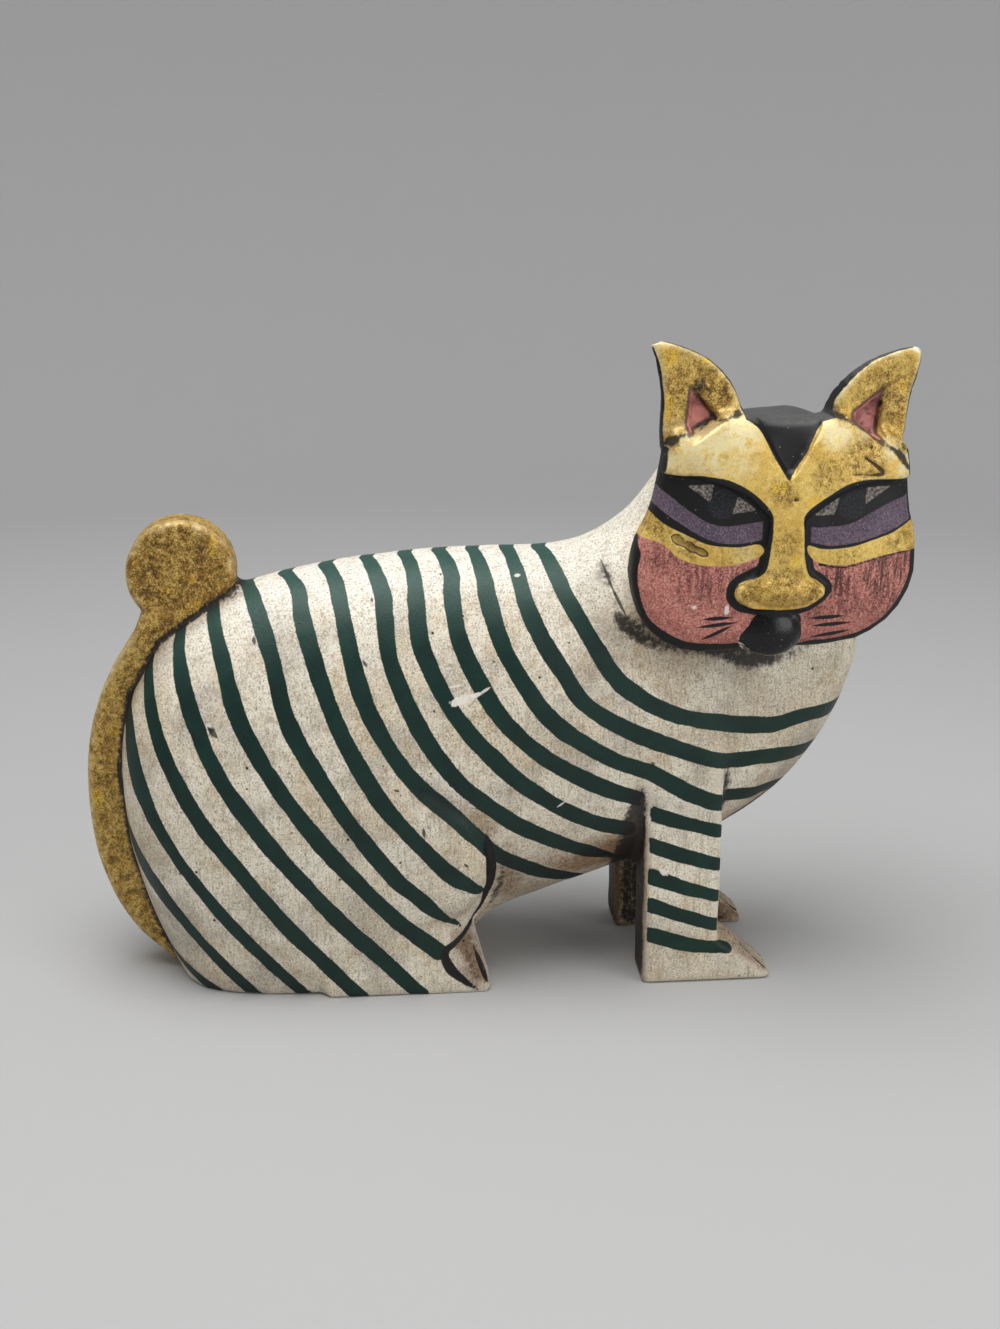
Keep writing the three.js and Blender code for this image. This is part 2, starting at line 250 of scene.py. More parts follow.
# Tool marks
# The knife and the sander leave the rounds very slightly uneven, in shallow scallops a centimetre or two
# wide, and the paint keeps them. The flat face and tail have less of it.
SCALLOP_SIZE = 13
SCALLOP_DEPTH = 0.55
scallops = bpy.data.textures.new("scallops", "CLOUDS")
scallops.noise_scale = SCALLOP_SIZE * MM
scallops.noise_depth = 1
evenness = np.maximum(0.6 * face_front, 0.5 * fade(behind_tail_seam(skin), 2, -1))
apply_modifier("DISPLACE", texture=scallops, texture_coords="LOCAL", strength=SCALLOP_DEPTH * MM,
               mid_level=0.5, vertex_group=weigh("scalloped", (1 - evenness) * fade(skin[:, 2], 0.5, 4)))

# Layout of the paint
# Each colour is laid on by brush. Its outline is drawn on the wood first, so every vertex knows how far
# it lies from the edge of each colour, in mm, less than 0 inside. The far flank repeats the near one.
FAR = 6.0
spot = places()
normal = read(cat.data.vertices, "normal", 3)
across, up, into = on_head(spot)
skin_tree = BVHTree.FromObject(cat, bpy.context.evaluated_depsgraph_get())
layout = {}


def press(points):
    """Points pressed onto the nearest wood."""
    return np.array([skin_tree.find_nearest(Vector(point) * MM)[0] for point in points]) / MM


LEG_MID = MID - 2.3
LEG_ALONG = 66
x, y, z = spot.T
by_legs = fade(z, 84, 72) * fade(np.abs(x - LEG_ALONG), 32, 24)
middle = MID + (LEG_MID - MID) * by_legs
far_side = y > middle
near_side = spot.copy()
near_side[far_side] = press(np.column_stack((x, 2 * middle - y, z))[far_side])


def smooth_line(points, closed=False, step=0.7):
    """Points a step apart along a smooth curve through the given ones, of any number of columns."""
    knots = np.array(points, float)
    if closed:
        knots = np.vstack((knots[-1:], knots, knots[:2]))
    else:
        knots = np.vstack((2 * knots[:1] - knots[1:2], knots, 2 * knots[-1:] - knots[-2:-1]))
    line = []
    for before, start, end, after in zip(knots, knots[1:], knots[2:], knots[3:]):
        count = max(2, int(np.linalg.norm((end - start)[:2]) / step))
        t = np.linspace(0, 1, count, endpoint=False)[:, None]
        bend = 2 * before - 5 * start + 4 * end - after
        twist = 3 * start - before - 3 * end + after
        line.append(start + 0.5 * ((end - before) * t + bend * t ** 2 + twist * t ** 3))
    if not closed:
        line.append(knots[-2:-1])
    return np.vstack(line)


def along_stroke(line, a, b):
    """Distance of the places (a, b) from the edge of a stroke, whose rows are a, b and half width."""
    nearest = np.full(len(a), np.inf)
    for start, end in zip(line, line[1:]):
        gap, share = from_side(start, end, a, b)
        nearest = np.minimum(nearest, gap - start[2] - share * (end[2] - start[2]))
    return nearest


# Stripes
# Dark green stripes, each one long stroke of a flat brush, run from the spine down both flanks and sweep
# forward to the breast, belly and haunches. Shorter bars of the same green cross the forelegs.
STRIPE_HALF = 2.8
BAR_HALF = 2.8
SPINE = None
BREAST = None
STRIPES = (
    ((17.6, SPINE), (21.9, 137.5), (26.2, 128.8), (37.7, 109.6), (45.7, 102), (54.6, 96.7),
     (66.2, 92.6), (89.8, 89), (102, 90.4), (113, 90.2), (BREAST, 91)),
    ((7.3, SPINE), (9.5, 138.2), (11.9, 129.2), (16.2, 119.9), (22.3, 110.3), (29.2, 100),
     (43.6, 90.4), (66.6, 80.8), (77.7, 77.9), (90.8, 77.5), (104.2, 76.5), (BREAST, 77.5)),
    ((-4.1, SPINE), (-1.4, 137.8), (-0.6, 132.1), (2.1, 122.5), (6.2, 113.4), (18.3, 95.3),
     (36.6, 82), (50.9, 75.6), (64.3, 67.9), (75, 64), (87, 63.2), (94, 63.9), (BREAST, 65.5)),
    ((-15.1, SPINE), (-11.7, 138.8), (-11.8, 132.6), (-9.3, 118.5), (0.3, 99.8), (7.8, 90.6),
     (17.1, 82.4), (27.6, 75.7), (36.9, 70.8), (47.2, 66.2)),
    ((-26, SPINE), (-23.5, 138), (-22.8, 124.9), (-21, 115.9), (-11.4, 96.9), (3.3, 79.8),
     (12.4, 71.7), (22.6, 64.5), (34.1, 58.3), (44.5, 54.8)),
    ((-38.5, SPINE), (-35.2, 137.7), (-33.5, 132.7), (-32.9, 123.9), (-31.3, 112.8), (-23.4, 94),
     (-11.9, 76.7), (5.1, 61.7), (15.4, 55.3), (26.3, 49.3), (39.1, 43.6), (45.7, 40.6)),
    ((-51.8, SPINE), (-48.5, 136.5), (-46.8, 130), (-42.6, 110.1), (-36.5, 94.1), (-25.9, 77.3),
     (-12, 63.8), (-1, 51), (8.8, 44.2), (18, 38.6), (23.2, 36.2), (30, 33)),
    ((-64.9, SPINE), (-60.3, 134), (-59.1, 127.6), (-54.7, 112.2), (-47.8, 92.9), (-38.2, 74.4),
     (-28.7, 61.4), (-14.8, 45.4), (-8, 39.9), (-1.8, 34)),
    ((-77.3, SPINE), (-74.4, 130.7), (-68.7, 115.5), (-64.7, 97.8), (-56.8, 81.9), (-45.4, 63.1),
     (-32.5, 44.6), (-23.9, 35.9), (-10.5, 22.8)),
    ((-89.6, 133), (-87.5, 126.6), (-84.1, 113.7), (-79.7, 97.7), (-71.5, 81.3), (-59, 62.2),
     (-44.3, 43.3), (-29.5, 26.1), (-17.6, 15.2)),
    ((-99.4, 124), (-98.4, 119), (-98, 111.4), (-93.3, 95.2), (-86.9, 79.7), (-74.2, 60.2),
     (-60.3, 42.1), (-44.2, 22.3), (-27.4, 3.9), (-24, 0.3)),
    ((-109.6, 114), (-108.9, 109.3), (-108.4, 102), (-103.9, 85.5), (-93.9, 65.4), (-81, 47.1),
     (-66.6, 27.3), (-51.4, 8.6), (-43.7, 0.3)),
    ((-117.4, 99.4), (-116.6, 94.8), (-115.6, 89.5), (-112.1, 73.3), (-104.1, 55.9), (-90.9, 36.1),
     (-75.5, 16.4), (-61.8, 0.3)),
    ((-120, 59.9), (-117.2, 53.5), (-106.9, 36), (-92.7, 17.8), (-78.3, 0.3)),
    ((-111.5, 19), (-99.2, 5.7), (-91.4, 0.3)),
)
POINTED_STRIPES = (5, 7, 8)  # these run out to a point at their lower ends
POINT_LENGTH = 17
POINT_WIDTH = 0.2
BROAD_STRIPES = (12, 13)  # these are broadest at the top, where the rump turns away
BROADER = 0.8
RUMP_THINNER = 0.24
TOP_THINNER = 0.16
BAR_TAPER = 0.2
LEG_BARS = (
    ((50.4, 61.8), (63, 57.6), (74.9, 54.2)),
    ((50.4, 50.8), (62, 46.4), (74.9, 42.4)),
    ((50.4, 40), (62.5, 35), (74.9, 31.2)),
    ((50.4, 29.6), (63, 24.6), (74.9, 20.6)),
    ((50.4, 18.8), (66.4, 13.8), (78.5, 12.2)),
)
BAR_START = 51.3
LEG_LENGTH = (45.5, 90)
LEG_HEIGHT = (11, 70)
LEG_REAR = (48.5, 60)
LEG_OUTSIDE = 28.5
LEG_ROUND = 3
END_FACING = 0.93
OUTSIDE = 300


def touch(x, z):
    """The place in mm where a brush meets the wood, from the side, or on the spine or the breast."""
    if z is SPINE:
        start, way = (x, MID, OUTSIDE), (0, 0, -1)
    elif x is BREAST:
        start, way = (OUTSIDE, MID, z), (-1, 0, 0)
    else:
        start, way = (x, -OUTSIDE, z), (0, 1, 0)
    hit = skin_tree.ray_cast(Vector(start) * MM, Vector(way))[0]
    return np.array(hit) / MM if hit else np.array((x, MID, z))


def away_from(points, widths):
    """Distance of every vertex, as if on the near side, from the edge of strokes of varied width."""
    tree = tree_of(points)
    found = [tree.find(point)[1:] for point in near_side]
    index = np.array([hit[0] for hit in found])
    return np.array([hit[1] for hit in found]) - np.array(widths)[index], index


stroke_points = []
stroke_widths = []
for number, stripe in enumerate(STRIPES + LEG_BARS):
    line = press(smooth_line([touch(*point) for point in stripe], step=0.5))
    run = np.append(0, np.cumsum(np.linalg.norm(np.diff(line, axis=0), axis=1)))
    if number < len(STRIPES):
        half = STRIPE_HALF * (1 - RUMP_THINNER * fade(stripe[0][0], -106, -122))
        half = half * (1 - TOP_THINNER * fade(run, 30, 4))
    else:
        half = BAR_HALF * (1 - BAR_TAPER * run / run[-1])
    half = half * (1 + 0.05 * np.sin(0.13 * run + 2.3 * number) + 0.02 * np.sin(0.41 * run + 1.1 * number))
    if number in BROAD_STRIPES:
        half = half * (1 + BROADER * fade(run, 55, 15))
    if number in POINTED_STRIPES:
        half = half * np.interp(run[-1] - run, (0, POINT_LENGTH), (POINT_WIDTH, 1))
    stroke_points.extend(line)
    stroke_widths.extend(half)
green = away_from(stroke_points, stroke_widths)[0]
on_legs = between(x, LEG_LENGTH) & between(z, LEG_HEIGHT)
leg_ends = on_legs & (np.abs(normal[:, 0]) > END_FACING)
outside = np.abs(y - LEG_MID) > LEG_OUTSIDE - LEG_ROUND * fade(z, 66, 62)
leg_rear = on_legs & between(x, LEG_REAR) & outside
layout["green"] = np.where(leg_ends, FAR, np.where(leg_rear, np.maximum(green, BAR_START - x), green))

# Tail
# A flat strip and a round knob, left standing proud of the rump and covered with gold leaf. The gold
# stops in the corner where the strip meets the rump.
tail_gold = behind_tail_seam(spot)
TAIL_SIDE = 5.5
TAIL_OCHRE = (
    (-94.5, 136.3, 2.6, 1.2), (-86.8, 147.5, 1.3, 3), (-93.1, 127.3, 4, 1.3), (-102, 132.6, 1.8, 1),
    (-128.6, 62.5, 1.6, 3.4), (-121.8, 86.4, 1.4, 2),
)

# Face
# A shield of a face turned to the side: gilt brows and nose stand proud, and between black lines lie
# violet and gilt bands, rose cheeks, narrow eyes and a round black mouth.
JAW_HALF = (
    (0, -38), (17, -38.5), (30, -36.3), (39.5, -29), (45, -16), (44.2, -4), (40.5, 6), (38.6, 17),
    (36.5, 27), (27, 33.5), (15, 35.8), (7, 34.4), (0, 33.8),
)
JAW_SLANT = 0.07
FACE_ASIDE = 1.4
ASIDE_FROM = -5
MASK = (
    (-0.6, 16.2), (-0.6, 16.2), (-5.8, 23.8), (-10.1, 31.1), (-15.8, 34.2), (-23, 32), (-31.5, 29.3),
    (-38.6, 25.2), (-39.6, 17.4), (-25.9, 17.2), (-17.2, 15.8), (-9.4, 11.2), (-5, 6.4), (-4.4, 2.4),
    (-4.6, -4.4), (-5.2, -10.2), (-7.3, -12.8), (-12.5, -15.4), (-14.1, -18.6), (-12.5, -21.5),
    (-7.8, -23), (-0.2, -23.5), (6.6, -22.8), (10.7, -20.8), (14, -17.2), (11.8, -14.6), (8.4, -12.4),
    (6.8, -7.4), (5.4, 0.9), (5.3, 6.8), (12.7, 12.6), (18.7, 16), (25.7, 17.2), (38.8, 17.4),
    (38.6, 22), (33.5, 24.6), (26.6, 28.8), (19.9, 32), (11.8, 34.9), (8.8, 31.9), (4.8, 24.4),
)
EYES = (
    ((-39.5, 17.8), (-25.9, 17.8), (-17.2, 16.4), (-9.4, 12), (-4.8, 6.6), (-5.6, 4.4), (-15.5, 2.2),
     (-22.8, 2.6), (-30.1, 6.8), (-39.2, 13.6)),
    ((5.1, 7), (12.7, 13), (18.7, 16.6), (25.7, 17.8), (39, 17.8), (39.6, 12.2), (32.3, 9.3),
     (26.2, 6.2), (20.8, 3.4), (14.5, 2.4), (6.1, 2.8)),
)
EYE_WHITES = (
    ((-30.5, 13.8), (-22.7, 14.6), (-23.4, 9.2)),
    ((-15.3, 11.2), (-9.2, 7.2), (-16.6, 5.8)),
    ((8.2, 5.9), (16.2, 11.5), (15, 6)),
    ((24.3, 14.4), (33.2, 14.8), (24.8, 9.4)),
)
IRISES = ((-19.6, 8.6, 4.6), (20.2, 9.4, 4.8))
VIOLET = (
    ((-43, 14.6), (-38.4, 12.8), (-30.1, 6.8), (-22.8, 2.6), (-15.5, 2.2), (-6.3, 4.6), (-6.4, -2.8),
     (-17.8, -3.7), (-24.6, -1.7), (-33.4, 3), (-40, 7.8), (-43, 8.6)),
    ((6.3, 2.6), (14.5, 2.4), (20.8, 3.4), (26.2, 6.2), (32.3, 9.3), (40.2, 12.2), (42.6, 8),
     (42.4, 4.4), (30.8, -0.4), (23, -2.7), (15.1, -3.9), (7.5, -3)),
)
CHEEK_GOLD = (
    ((-44.6, 6.6), (-41.6, 6.2), (-37.7, 2.6), (-33.3, 0.3), (-28.2, -1.8), (-23, -3.8), (-15, -4.4),
     (-7.4, -3.4), (-7.1, -6.9), (-14.6, -9.8), (-22.5, -10.3), (-30.7, -8.7), (-37.4, -3.9), (-45.6, -1.6)),
    ((7.7, -3.5), (12.3, -4.6), (19.9, -4.2), (26.9, -2.4), (34.2, 0.1), (44, 4), (46, -4.4),
     (37.2, -5.9), (31.4, -6.9), (19.9, -9.6), (11.8, -8.8), (8.1, -6.2)),
)
CHEEK_LINES = (
    ((-44.6, 10.2, 1.3), (-41, 7.2, 1.3), (-37.4, 4, 1.5), (-33.4, 1.4, 1.6), (-24, -2.8, 0.8),
     (-16, -4, 0.6), (-7.5, -3, 0.9)),
    ((7, -3.1, 0.8), (15.1, -4.1, 0.6), (23, -3.1, 0.6), (31, -0.8, 0.6), (43, 4.2, 0.7)),
    ((12, -9.4, 0.4), (20, -10.2, 0.3), (31.4, -7.4, 0.3), (44, -4.8, 0.5)),
)
WHISKERS = (
    ((-23.2, -27.4), (-13.6, -26.6)), ((-24.6, -30.2), (-11.8, -28.2)), ((-22.6, -34.6), (-13.2, -29.2)),
    ((10.6, -26.8), (22, -26)), ((11.6, -29.4), (24.8, -28.2)), ((12.2, -33.4), (25, -31)),
)
MOUTH = (
    (-6, -25.4), (-8.6, -29), (-10.8, -33.2), (-9.8, -36.8), (-5.4, -40.6), (0, -42), (7.2, -39.4),
    (8.8, -34), (8.2, -29), (7.2, -25.6), (0.7, -24),
)
CHIP = (
    (-34.2, -1.8), (-33, -1.2), (-31.4, -1.5), (-30, -2.9), (-28.2, -3.3), (-26.6, -4.6), (-24.6, -5.2),
    (-23, -6.6), (-23.4, -7.4), (-25.2, -7.2), (-26.6, -6.4), (-28.4, -6.2), (-30.2, -4.8), (-32, -4.4),
    (-33.6, -3.2),
)
FACE_BACK = 14.0
FACE_HALF = 50
FACE_HEIGHT = (-46, 60)
BROW_FOOT = 14
VIOLET_SPREAD = 0.7
OUTLINE = 2.5
BROW_RIM_RIGHT = 0.6
BROW_RIM_LEFT = 1.3

front = (into < FACE_BACK) & (np.abs(across) < FACE_HALF) & between(up, FACE_HEIGHT)


def on_front(lines, closed=True, step=0.7):
    """The least distance of the face's vertices from smooth outlines or strokes, and FAR behind the face."""
    measure = inside_outline if closed else along_stroke
    smooth = [smooth_line(line, closed, step) for line in lines]
    distance = np.full(len(spot), FAR)
    distance[front] = np.min([measure(line, across[front], up[front]) for line in smooth], axis=0)
    return distance


def from_corners(lines):
    """The least distance of every vertex from outlines with straight sides, across and up the face."""
    return np.min([inside_outline(np.array(line), across, up) for line in lines], axis=0)


def ovals(rows, a, b):
    """Distance from the edge of upright ovals, whose rows are their middle, half width and half height."""
    apart = [(np.hypot((a - a0) / w, (b - b0) / h) - 1) * min(w, h) for a0, b0, w, h in rows]
    return np.min(apart, axis=0)


jaw_line = np.array(JAW_HALF + tuple((-u, v) for u, v in JAW_HALF[-2:0:-1]), float)
above_cheek = np.clip(1 - jaw_line[:, 1] / ASIDE_FROM, 0, 1)
jaw_line[:, 1] += JAW_SLANT * jaw_line[:, 0] * np.maximum(0, jaw_line[:, 1] / JAW_HALF[0][1])
jaw_line[:, 0] += FACE_ASIDE * above_cheek * np.abs(jaw_line[:, 0]) / jaw_line[:, 0].max()
jaw = on_front((jaw_line,))
mask = on_front((MASK,))
brow_end = jaw + np.where(across < 0, BROW_RIM_RIGHT, BROW_RIM_LEFT)
mask = np.where(up > BROW_FOOT, np.maximum(mask, brow_end), mask)
eyes = on_front(EYES)
cheek_gold = on_front(CHEEK_GOLD)
cheek_lines = on_front(CHEEK_LINES, closed=False)
mouth = on_front((MOUTH,))
layout["mouth"] = mouth
layout["chip"] = on_front((CHIP,))
layout["violet"] = on_front(VIOLET) - VIOLET_SPREAD
layout["eye_white"] = np.where(front, from_corners(EYE_WHITES), FAR)
layout["iris"] = np.where(front, ovals([(u, v, r, r) for u, v, r in IRISES], across, up), FAR)
layout["rose"] = np.where(front, np.maximum(jaw, up + 2), FAR)

# Ears and cap
# Pricked ears cut from the same block, gilt in front with a rose hollow, black round the edges and
# behind. Black runs from their backs over the crown and down to a point between the brows.
EAR = (
    (36, 17), (37.6, 28), (38.2, 40), (40.8, 53.4), (39.6, 55.8), (34, 55), (24, 50.4), (15.2, 40.4),
    (13, 30),
)
FLARE_LEFT = 0.3
FLARE_RIGHT = 2.6
FLARE_FROM = 46
EAR_FRONT = 10.4
EAR_BACK = 30
EAR_FOOT = 24.5
EAR_FOOT_DEPTH = 3
EAR_EDGE = 0.4
EAR_BLACK_FOOT = 25
EAR_BLACK_SPREAD = 2.5
HOLLOW_DEPTH = 6
EAR_HOLLOWS = (
    ((-30.2, 42.8), (-30.8, 28.4), (-21.6, 33.4)),
    ((29.4, 43.4), (18.6, 34.2), (28.4, 27.2)),
)
CAP = (
    (-0.6, 15.6), (-6.2, 23.8), (-10.6, 31.1), (-17, 34.5), (-17, 60), (14, 60), (13.5, 35.5),
    (9.2, 31.9), (5.2, 24.4),
)
CAP_FRONT = 20.0
CAP_BACK = 60.0
CROWN_FOOT = 20
CROWN_SLOPE = 0.25
CROWN_FRONT = 12
CROWN_HALF = 40
NOSE_TOP = 6
RIM = 2.2
RIM_THIN = 1.5
RIM_CHIN = 1.8
RIM_LEFT = 1.6
RIM_BACK = 12.5
RIM_GAP = (-1, 14)

ear_line = smooth_line(EAR)
high = np.clip((ear_line[:, 1:] - FLARE_FROM) / (ear_line[:, 1].max() - FLARE_FROM), 0, 1) ** 2
ears = np.min([
    inside_outline((ear_line + high * (FLARE_RIGHT, 0)) * (-1, 1), across, up),
    inside_outline(ear_line + high * (FLARE_LEFT, 0), across, up),
], axis=0)
ear_depth = EAR_FRONT + EAR_FOOT_DEPTH * fade(up, 38, 34)
ear_gold = np.max([ears + EAR_EDGE, into - ear_depth, EAR_FOOT - up], axis=0)
faces_front = normal @ INTO < 0.5
in_hollow = faces_front & (into < EAR_FRONT + HOLLOW_DEPTH)
layout["rose_hollow"] = np.where(in_hollow, from_corners(EAR_HOLLOWS), FAR)
layout["gold"] = np.min([mask, cheek_gold, ear_gold, tail_gold], axis=0)

cap = np.maximum(from_corners((CAP,)), into - CAP_FRONT)
ear_black = np.max([ears - EAR_BLACK_SPREAD, into - EAR_BACK, EAR_BLACK_FOOT - up], axis=0)
crown_black = np.max([
    CROWN_FOOT + CROWN_SLOPE * into - up, CROWN_FRONT - into, into - CAP_BACK, np.abs(across) - CROWN_HALF,
], axis=0)
right_jaw = fade(across, 12, -20) * fade(up, 1.5, -1.5)
below = fade(up, -4, -9) + fade(up, 15, 17)
rim_width = RIM_THIN * np.minimum(1, below + fade(across, -5, 5)) + (RIM - RIM_THIN) * right_jaw
rim_width = rim_width + RIM_CHIN * fade(up, -27, -34) * fade(across, 6, -8)
rim_width = rim_width + RIM_LEFT * fade(up, 0, -8) * fade(across, 5, 15)
rim = np.where(front, np.maximum(-jaw - rim_width, into - RIM_BACK), FAR)
rim = np.where((across < 0) & between(up, RIM_GAP), FAR, rim)
nose_line = np.where(front, np.maximum(mask - OUTLINE, up - NOSE_TOP), FAR)
layout["black"] = np.min([cap, ear_black, crown_black, rim, nose_line, eyes, cheek_lines, mouth], axis=0)

# Leaf and rouge
# The gold leaf is painted paler on the brows and the tail's upward rims as a painted highlight, and on worn
# ridges; it is tarnished in the ears and on the tail, and yellow clay shows through in spots. The rouge of
# the cheeks keeps dark scrubbing at the top.
TARNISH = (
    (-23, 40, 11, 0.95), (-31, 46, 4.5, 1), (-36, 33, 6, 0.5), (-36.5, 26.5, 4.5, 1), (-35, 49, 8, 0.5),
    (16, 36, 5, 1), (28, 48, 11, 0.5), (35, 31, 9, 0.65), (38, 46, 8, 0.5), (23, 24, 11, 0.75),
    (-2, 13, 6, 0.7), (12, 18, 8, 0.55), (0, -16, 10, 0.8), (-9, -18, 6, 0.8), (9, -18, 6, 0.8),
    (0, -3, 7, 0.6), (-38, 1, 6, 0.8), (-29, -5, 5, 0.6), (38, -2, 8, 0.45), (20, -7, 8, 0.35),
    (-15, -7, 8, 0.3), (-30, 20, 7, 0.2), (-30, 40, 17, 0.85), (31, 42, 16, 0.75),
)
# Painted highlight: blots of paler leaf on the brows and one cheek band, where light falls on them
LEAF_HIGHLIGHTS = (
    (-26, 26, 14, 1), (-16, 30, 10, 1), (-34, 22, 8, 0.9), (-16, 22, 8, 0.6), (14, 31, 8, 1),
    (31, 26, 5, 0.9), (37, 20, 5, 1), (22, 31, 5, 0.8), (-12, -7, 5, 0.4),
)
FACE_OCHRE = (
    (3.2, -7.4, 1.3, 2.4), (-3.8, 14.2, 3, 1.8), (7.6, 10.6, 2.4, 1.6), (35.4, 44, 1.2, 3),
    (-36.6, 51, 1.6, 2.2), (-36.8, 36, 1, 3.6), (-32.8, -9, 2.6, 1.2), (-42.4, 3.2, 1.2, 1.6),
    (-24, 50.2, 2.4, 1),
)
SCRUB = (
    (-24, -14, 14, 0.65), (-36, -8, 8, 0.7), (-12, -14, 8, 0.8), (-14, -22, 7, 0.6), (18, -14, 10, 1),
    (32, -12, 12, 1), (40, -10, 10, 1), (22, -22, 10, 0.6), (36, -22, 10, 0.6), (12, -24, 6, 0.6),
)


def blots(rows, a, b):
    """The strongest of some soft round blots, whose rows are their middle, radius and strength."""
    return np.max([s * fade(np.hypot(a - a0, b - b0), r, 0.25 * r) for a0, b0, r, s in rows], axis=0)


on_tail = fade(tail_gold, 0.5, -0.5)
tail_side = fade(np.abs(spot[:, 1] - MID), TAIL_SIDE, TAIL_SIDE + 1.5)
on_gold_front = front | ((ears < 1) & (into < EAR_FRONT + 1))
tail_tarnish = on_tail * (0.48 + 0.25 * tail_side + 0.3 * fade(spot[:, 2], 112, 122))
# Painted highlight on the tail's upward-facing rims
tail_rim_highlight = on_tail * fade(normal[:, 2], 0.2, 0.6) * fade(np.abs(spot[:, 1] - MID), 4.4, 6.2)
layout["tarnish"] = np.where(on_gold_front, blots(TARNISH, across, up), tail_tarnish)
layout["pale"] = np.where(on_gold_front, blots(LEAF_HIGHLIGHTS, across, up), tail_rim_highlight)
face_ochre = np.where(on_gold_front, ovals(FACE_OCHRE, across, up), FAR)
tail_ochre = np.where(on_tail > 0, ovals(TAIL_OCHRE, spot[:, 0], spot[:, 2]), FAR)
layout["ochre"] = np.minimum(face_ochre, tail_ochre)
layout["scrub"] = np.where(front, blots(SCRUB, across, up), 0)

# Haunch line and toes
# Black brush lines mark where each haunch folds over the hind foot and run down to its toe. Two finer ones
# part the toes of each forefoot.
HAUNCH_LINE = (
    (-2.2, 57.5, 0.2), (-1.5, 52.5, 1.3), (-0.5, 44, 2.2), (-1.2, 36.3, 1.7), (-3.4, 27.6, 0.9),
    (-8.9, 20.4, 0.8), (-15.6, 15.4, 1.3), (-14.2, 9.4, 1.8), (-9.4, 4.4, 1.2), (-4.8, 1, 0.4),
)
TOE_LINE = ((-6.4, 16.0, 0.3), (-4.2, 10.5, 1.0), (-2.4, 6.0, 1.3), (-1.2, 2.6, 0.4))
LEG_APART = 21.75
TOE_TOP = (77.8, 1.4, 17.1)
TOE_FOOT = (92.4, 5.6, 3.3)
TOE_HALF = 0.75
TOE_THIN = 0.3
TOE_STEPS = 40


def on_flank(strokes, step=0.4):
    """Distance from strokes on the flank, whose rows are x, z and half width, and the nearest row."""
    rows = np.vstack([smooth_line(stroke, step=step) for stroke in strokes])
    points = press([touch(x, z) for x, z in rows[:, :2]])
    away, index = away_from(points, rows[:, 2])
    return away, rows[index]


toe_points = []
toe_widths = []
for share in np.linspace(0, 1, TOE_STEPS):
    x, apart, z = np.array(TOE_TOP) * (1 - share) + np.array(TOE_FOOT) * share
    for side in (-apart, apart):
        toe_points.append((x, LEG_MID - LEG_APART + side, z))
        toe_widths.append(TOE_THIN + (TOE_HALF - TOE_THIN) * share ** 3)
toe_lines = away_from(press(toe_points), toe_widths)[0]
layout["ink"] = np.minimum(on_flank((HAUNCH_LINE, TOE_LINE))[0], toe_lines)

# Knocks
# Old damage: a chip out of one gilt cheek band, a split in a brow, pinholes, and places where the paint
# is scraped or knocked off down to the white ground.
BROW_SPLIT = ((22.8, 23.6, 0.3), (26.1, 21.5, 0.5), (28.6, 19.4, 0.6), (27.0, 18.5, 0.5), (19.2, 18.6, 0.2))
PINHOLES = ((2.0, 10.9, 0.9, 0.8), (24.6, 26.5, 0.5, 0.5))
FACE_CHALK = (
    (-25.9, -23.4, 0.7, 0.6), (-15.7, -24.2, 0.8, 1.5), (-42.8, 54.8, 1.1, 1.5), (39.6, 55.2, 2, 1.3),
)
CHIN_SCRATCHES = (
    ((-10.9, -32, 0.05), (-10.6, -34.6, 0.25), (-9, -37, 0.2), (-7.4, -38.6, 0.05)),
    ((-9.6, -35.2, 0.05), (-7.6, -37, 0.15), (-6.4, -37.6, 0.05)),
)
SCRAPES = (
    ((-14.4, 100.6, 0.3), (-12, 101.8, 1.2), (-9.4, 102.6, 1.3), (-6.6, 103.4, 0.8), (-4, 104.4, 0.6),
     (-1.5, 105.8, 0.2)),
    ((-13.7, 106.6, 0.1), (-12, 106.9, 0.35), (-10.2, 106.8, 0.1)),
    ((55.2, 41.4, 0.4), (56.3, 40.6, 1), (57.8, 39.6, 0.3)),
)
NICKS = (
    ((36.2, 142.4), (39.6, 133.2), 0.5), ((38.8, 135), (43, 126.4), 0.55),
    ((-22.6, 61.8), (-22.2, 58.4), 0.6), ((-9.8, 48.5), (-8, 46.8), 0.4),
    ((-74.4, 121.4), (-74, 119), 0.55), ((-40.4, 115), (-39, 112.8), 0.4),
    ((-37.2, 132.6), (-36.8, 131.2), 0.5), ((-94.8, 92.7), (-93.4, 89.9), 0.6),
    ((51.6, 79.5), (51.9, 77.1), 0.6), ((-31.8, 74.4), (-29.8, 73.8), 0.35),
    ((-89.4, 94.4), (-86.2, 91.2), 0.9),
)
SCRATCHES = (
    ((8.2, 138), (10.4, 138.2), 0.45), ((20.6, 65.2), (23.6, 67.4), 0.35),
    ((-13.8, 106.4), (-9.8, 107), 0.35), ((-4.2, 104.2), (-0.6, 106.4), 0.4),
)
PIT = ((-90.6, 95.2, 0.5), (-88.0, 93.0, 1.2), (-85.6, 91.0, 0.6))
CHIP_DEPTH = 0.8
SPLIT_DEPTH = 0.6
LINE_DEPTH = 0.5
SEAM_DEPTH = 0.4
PIT_DEPTH = 0.5

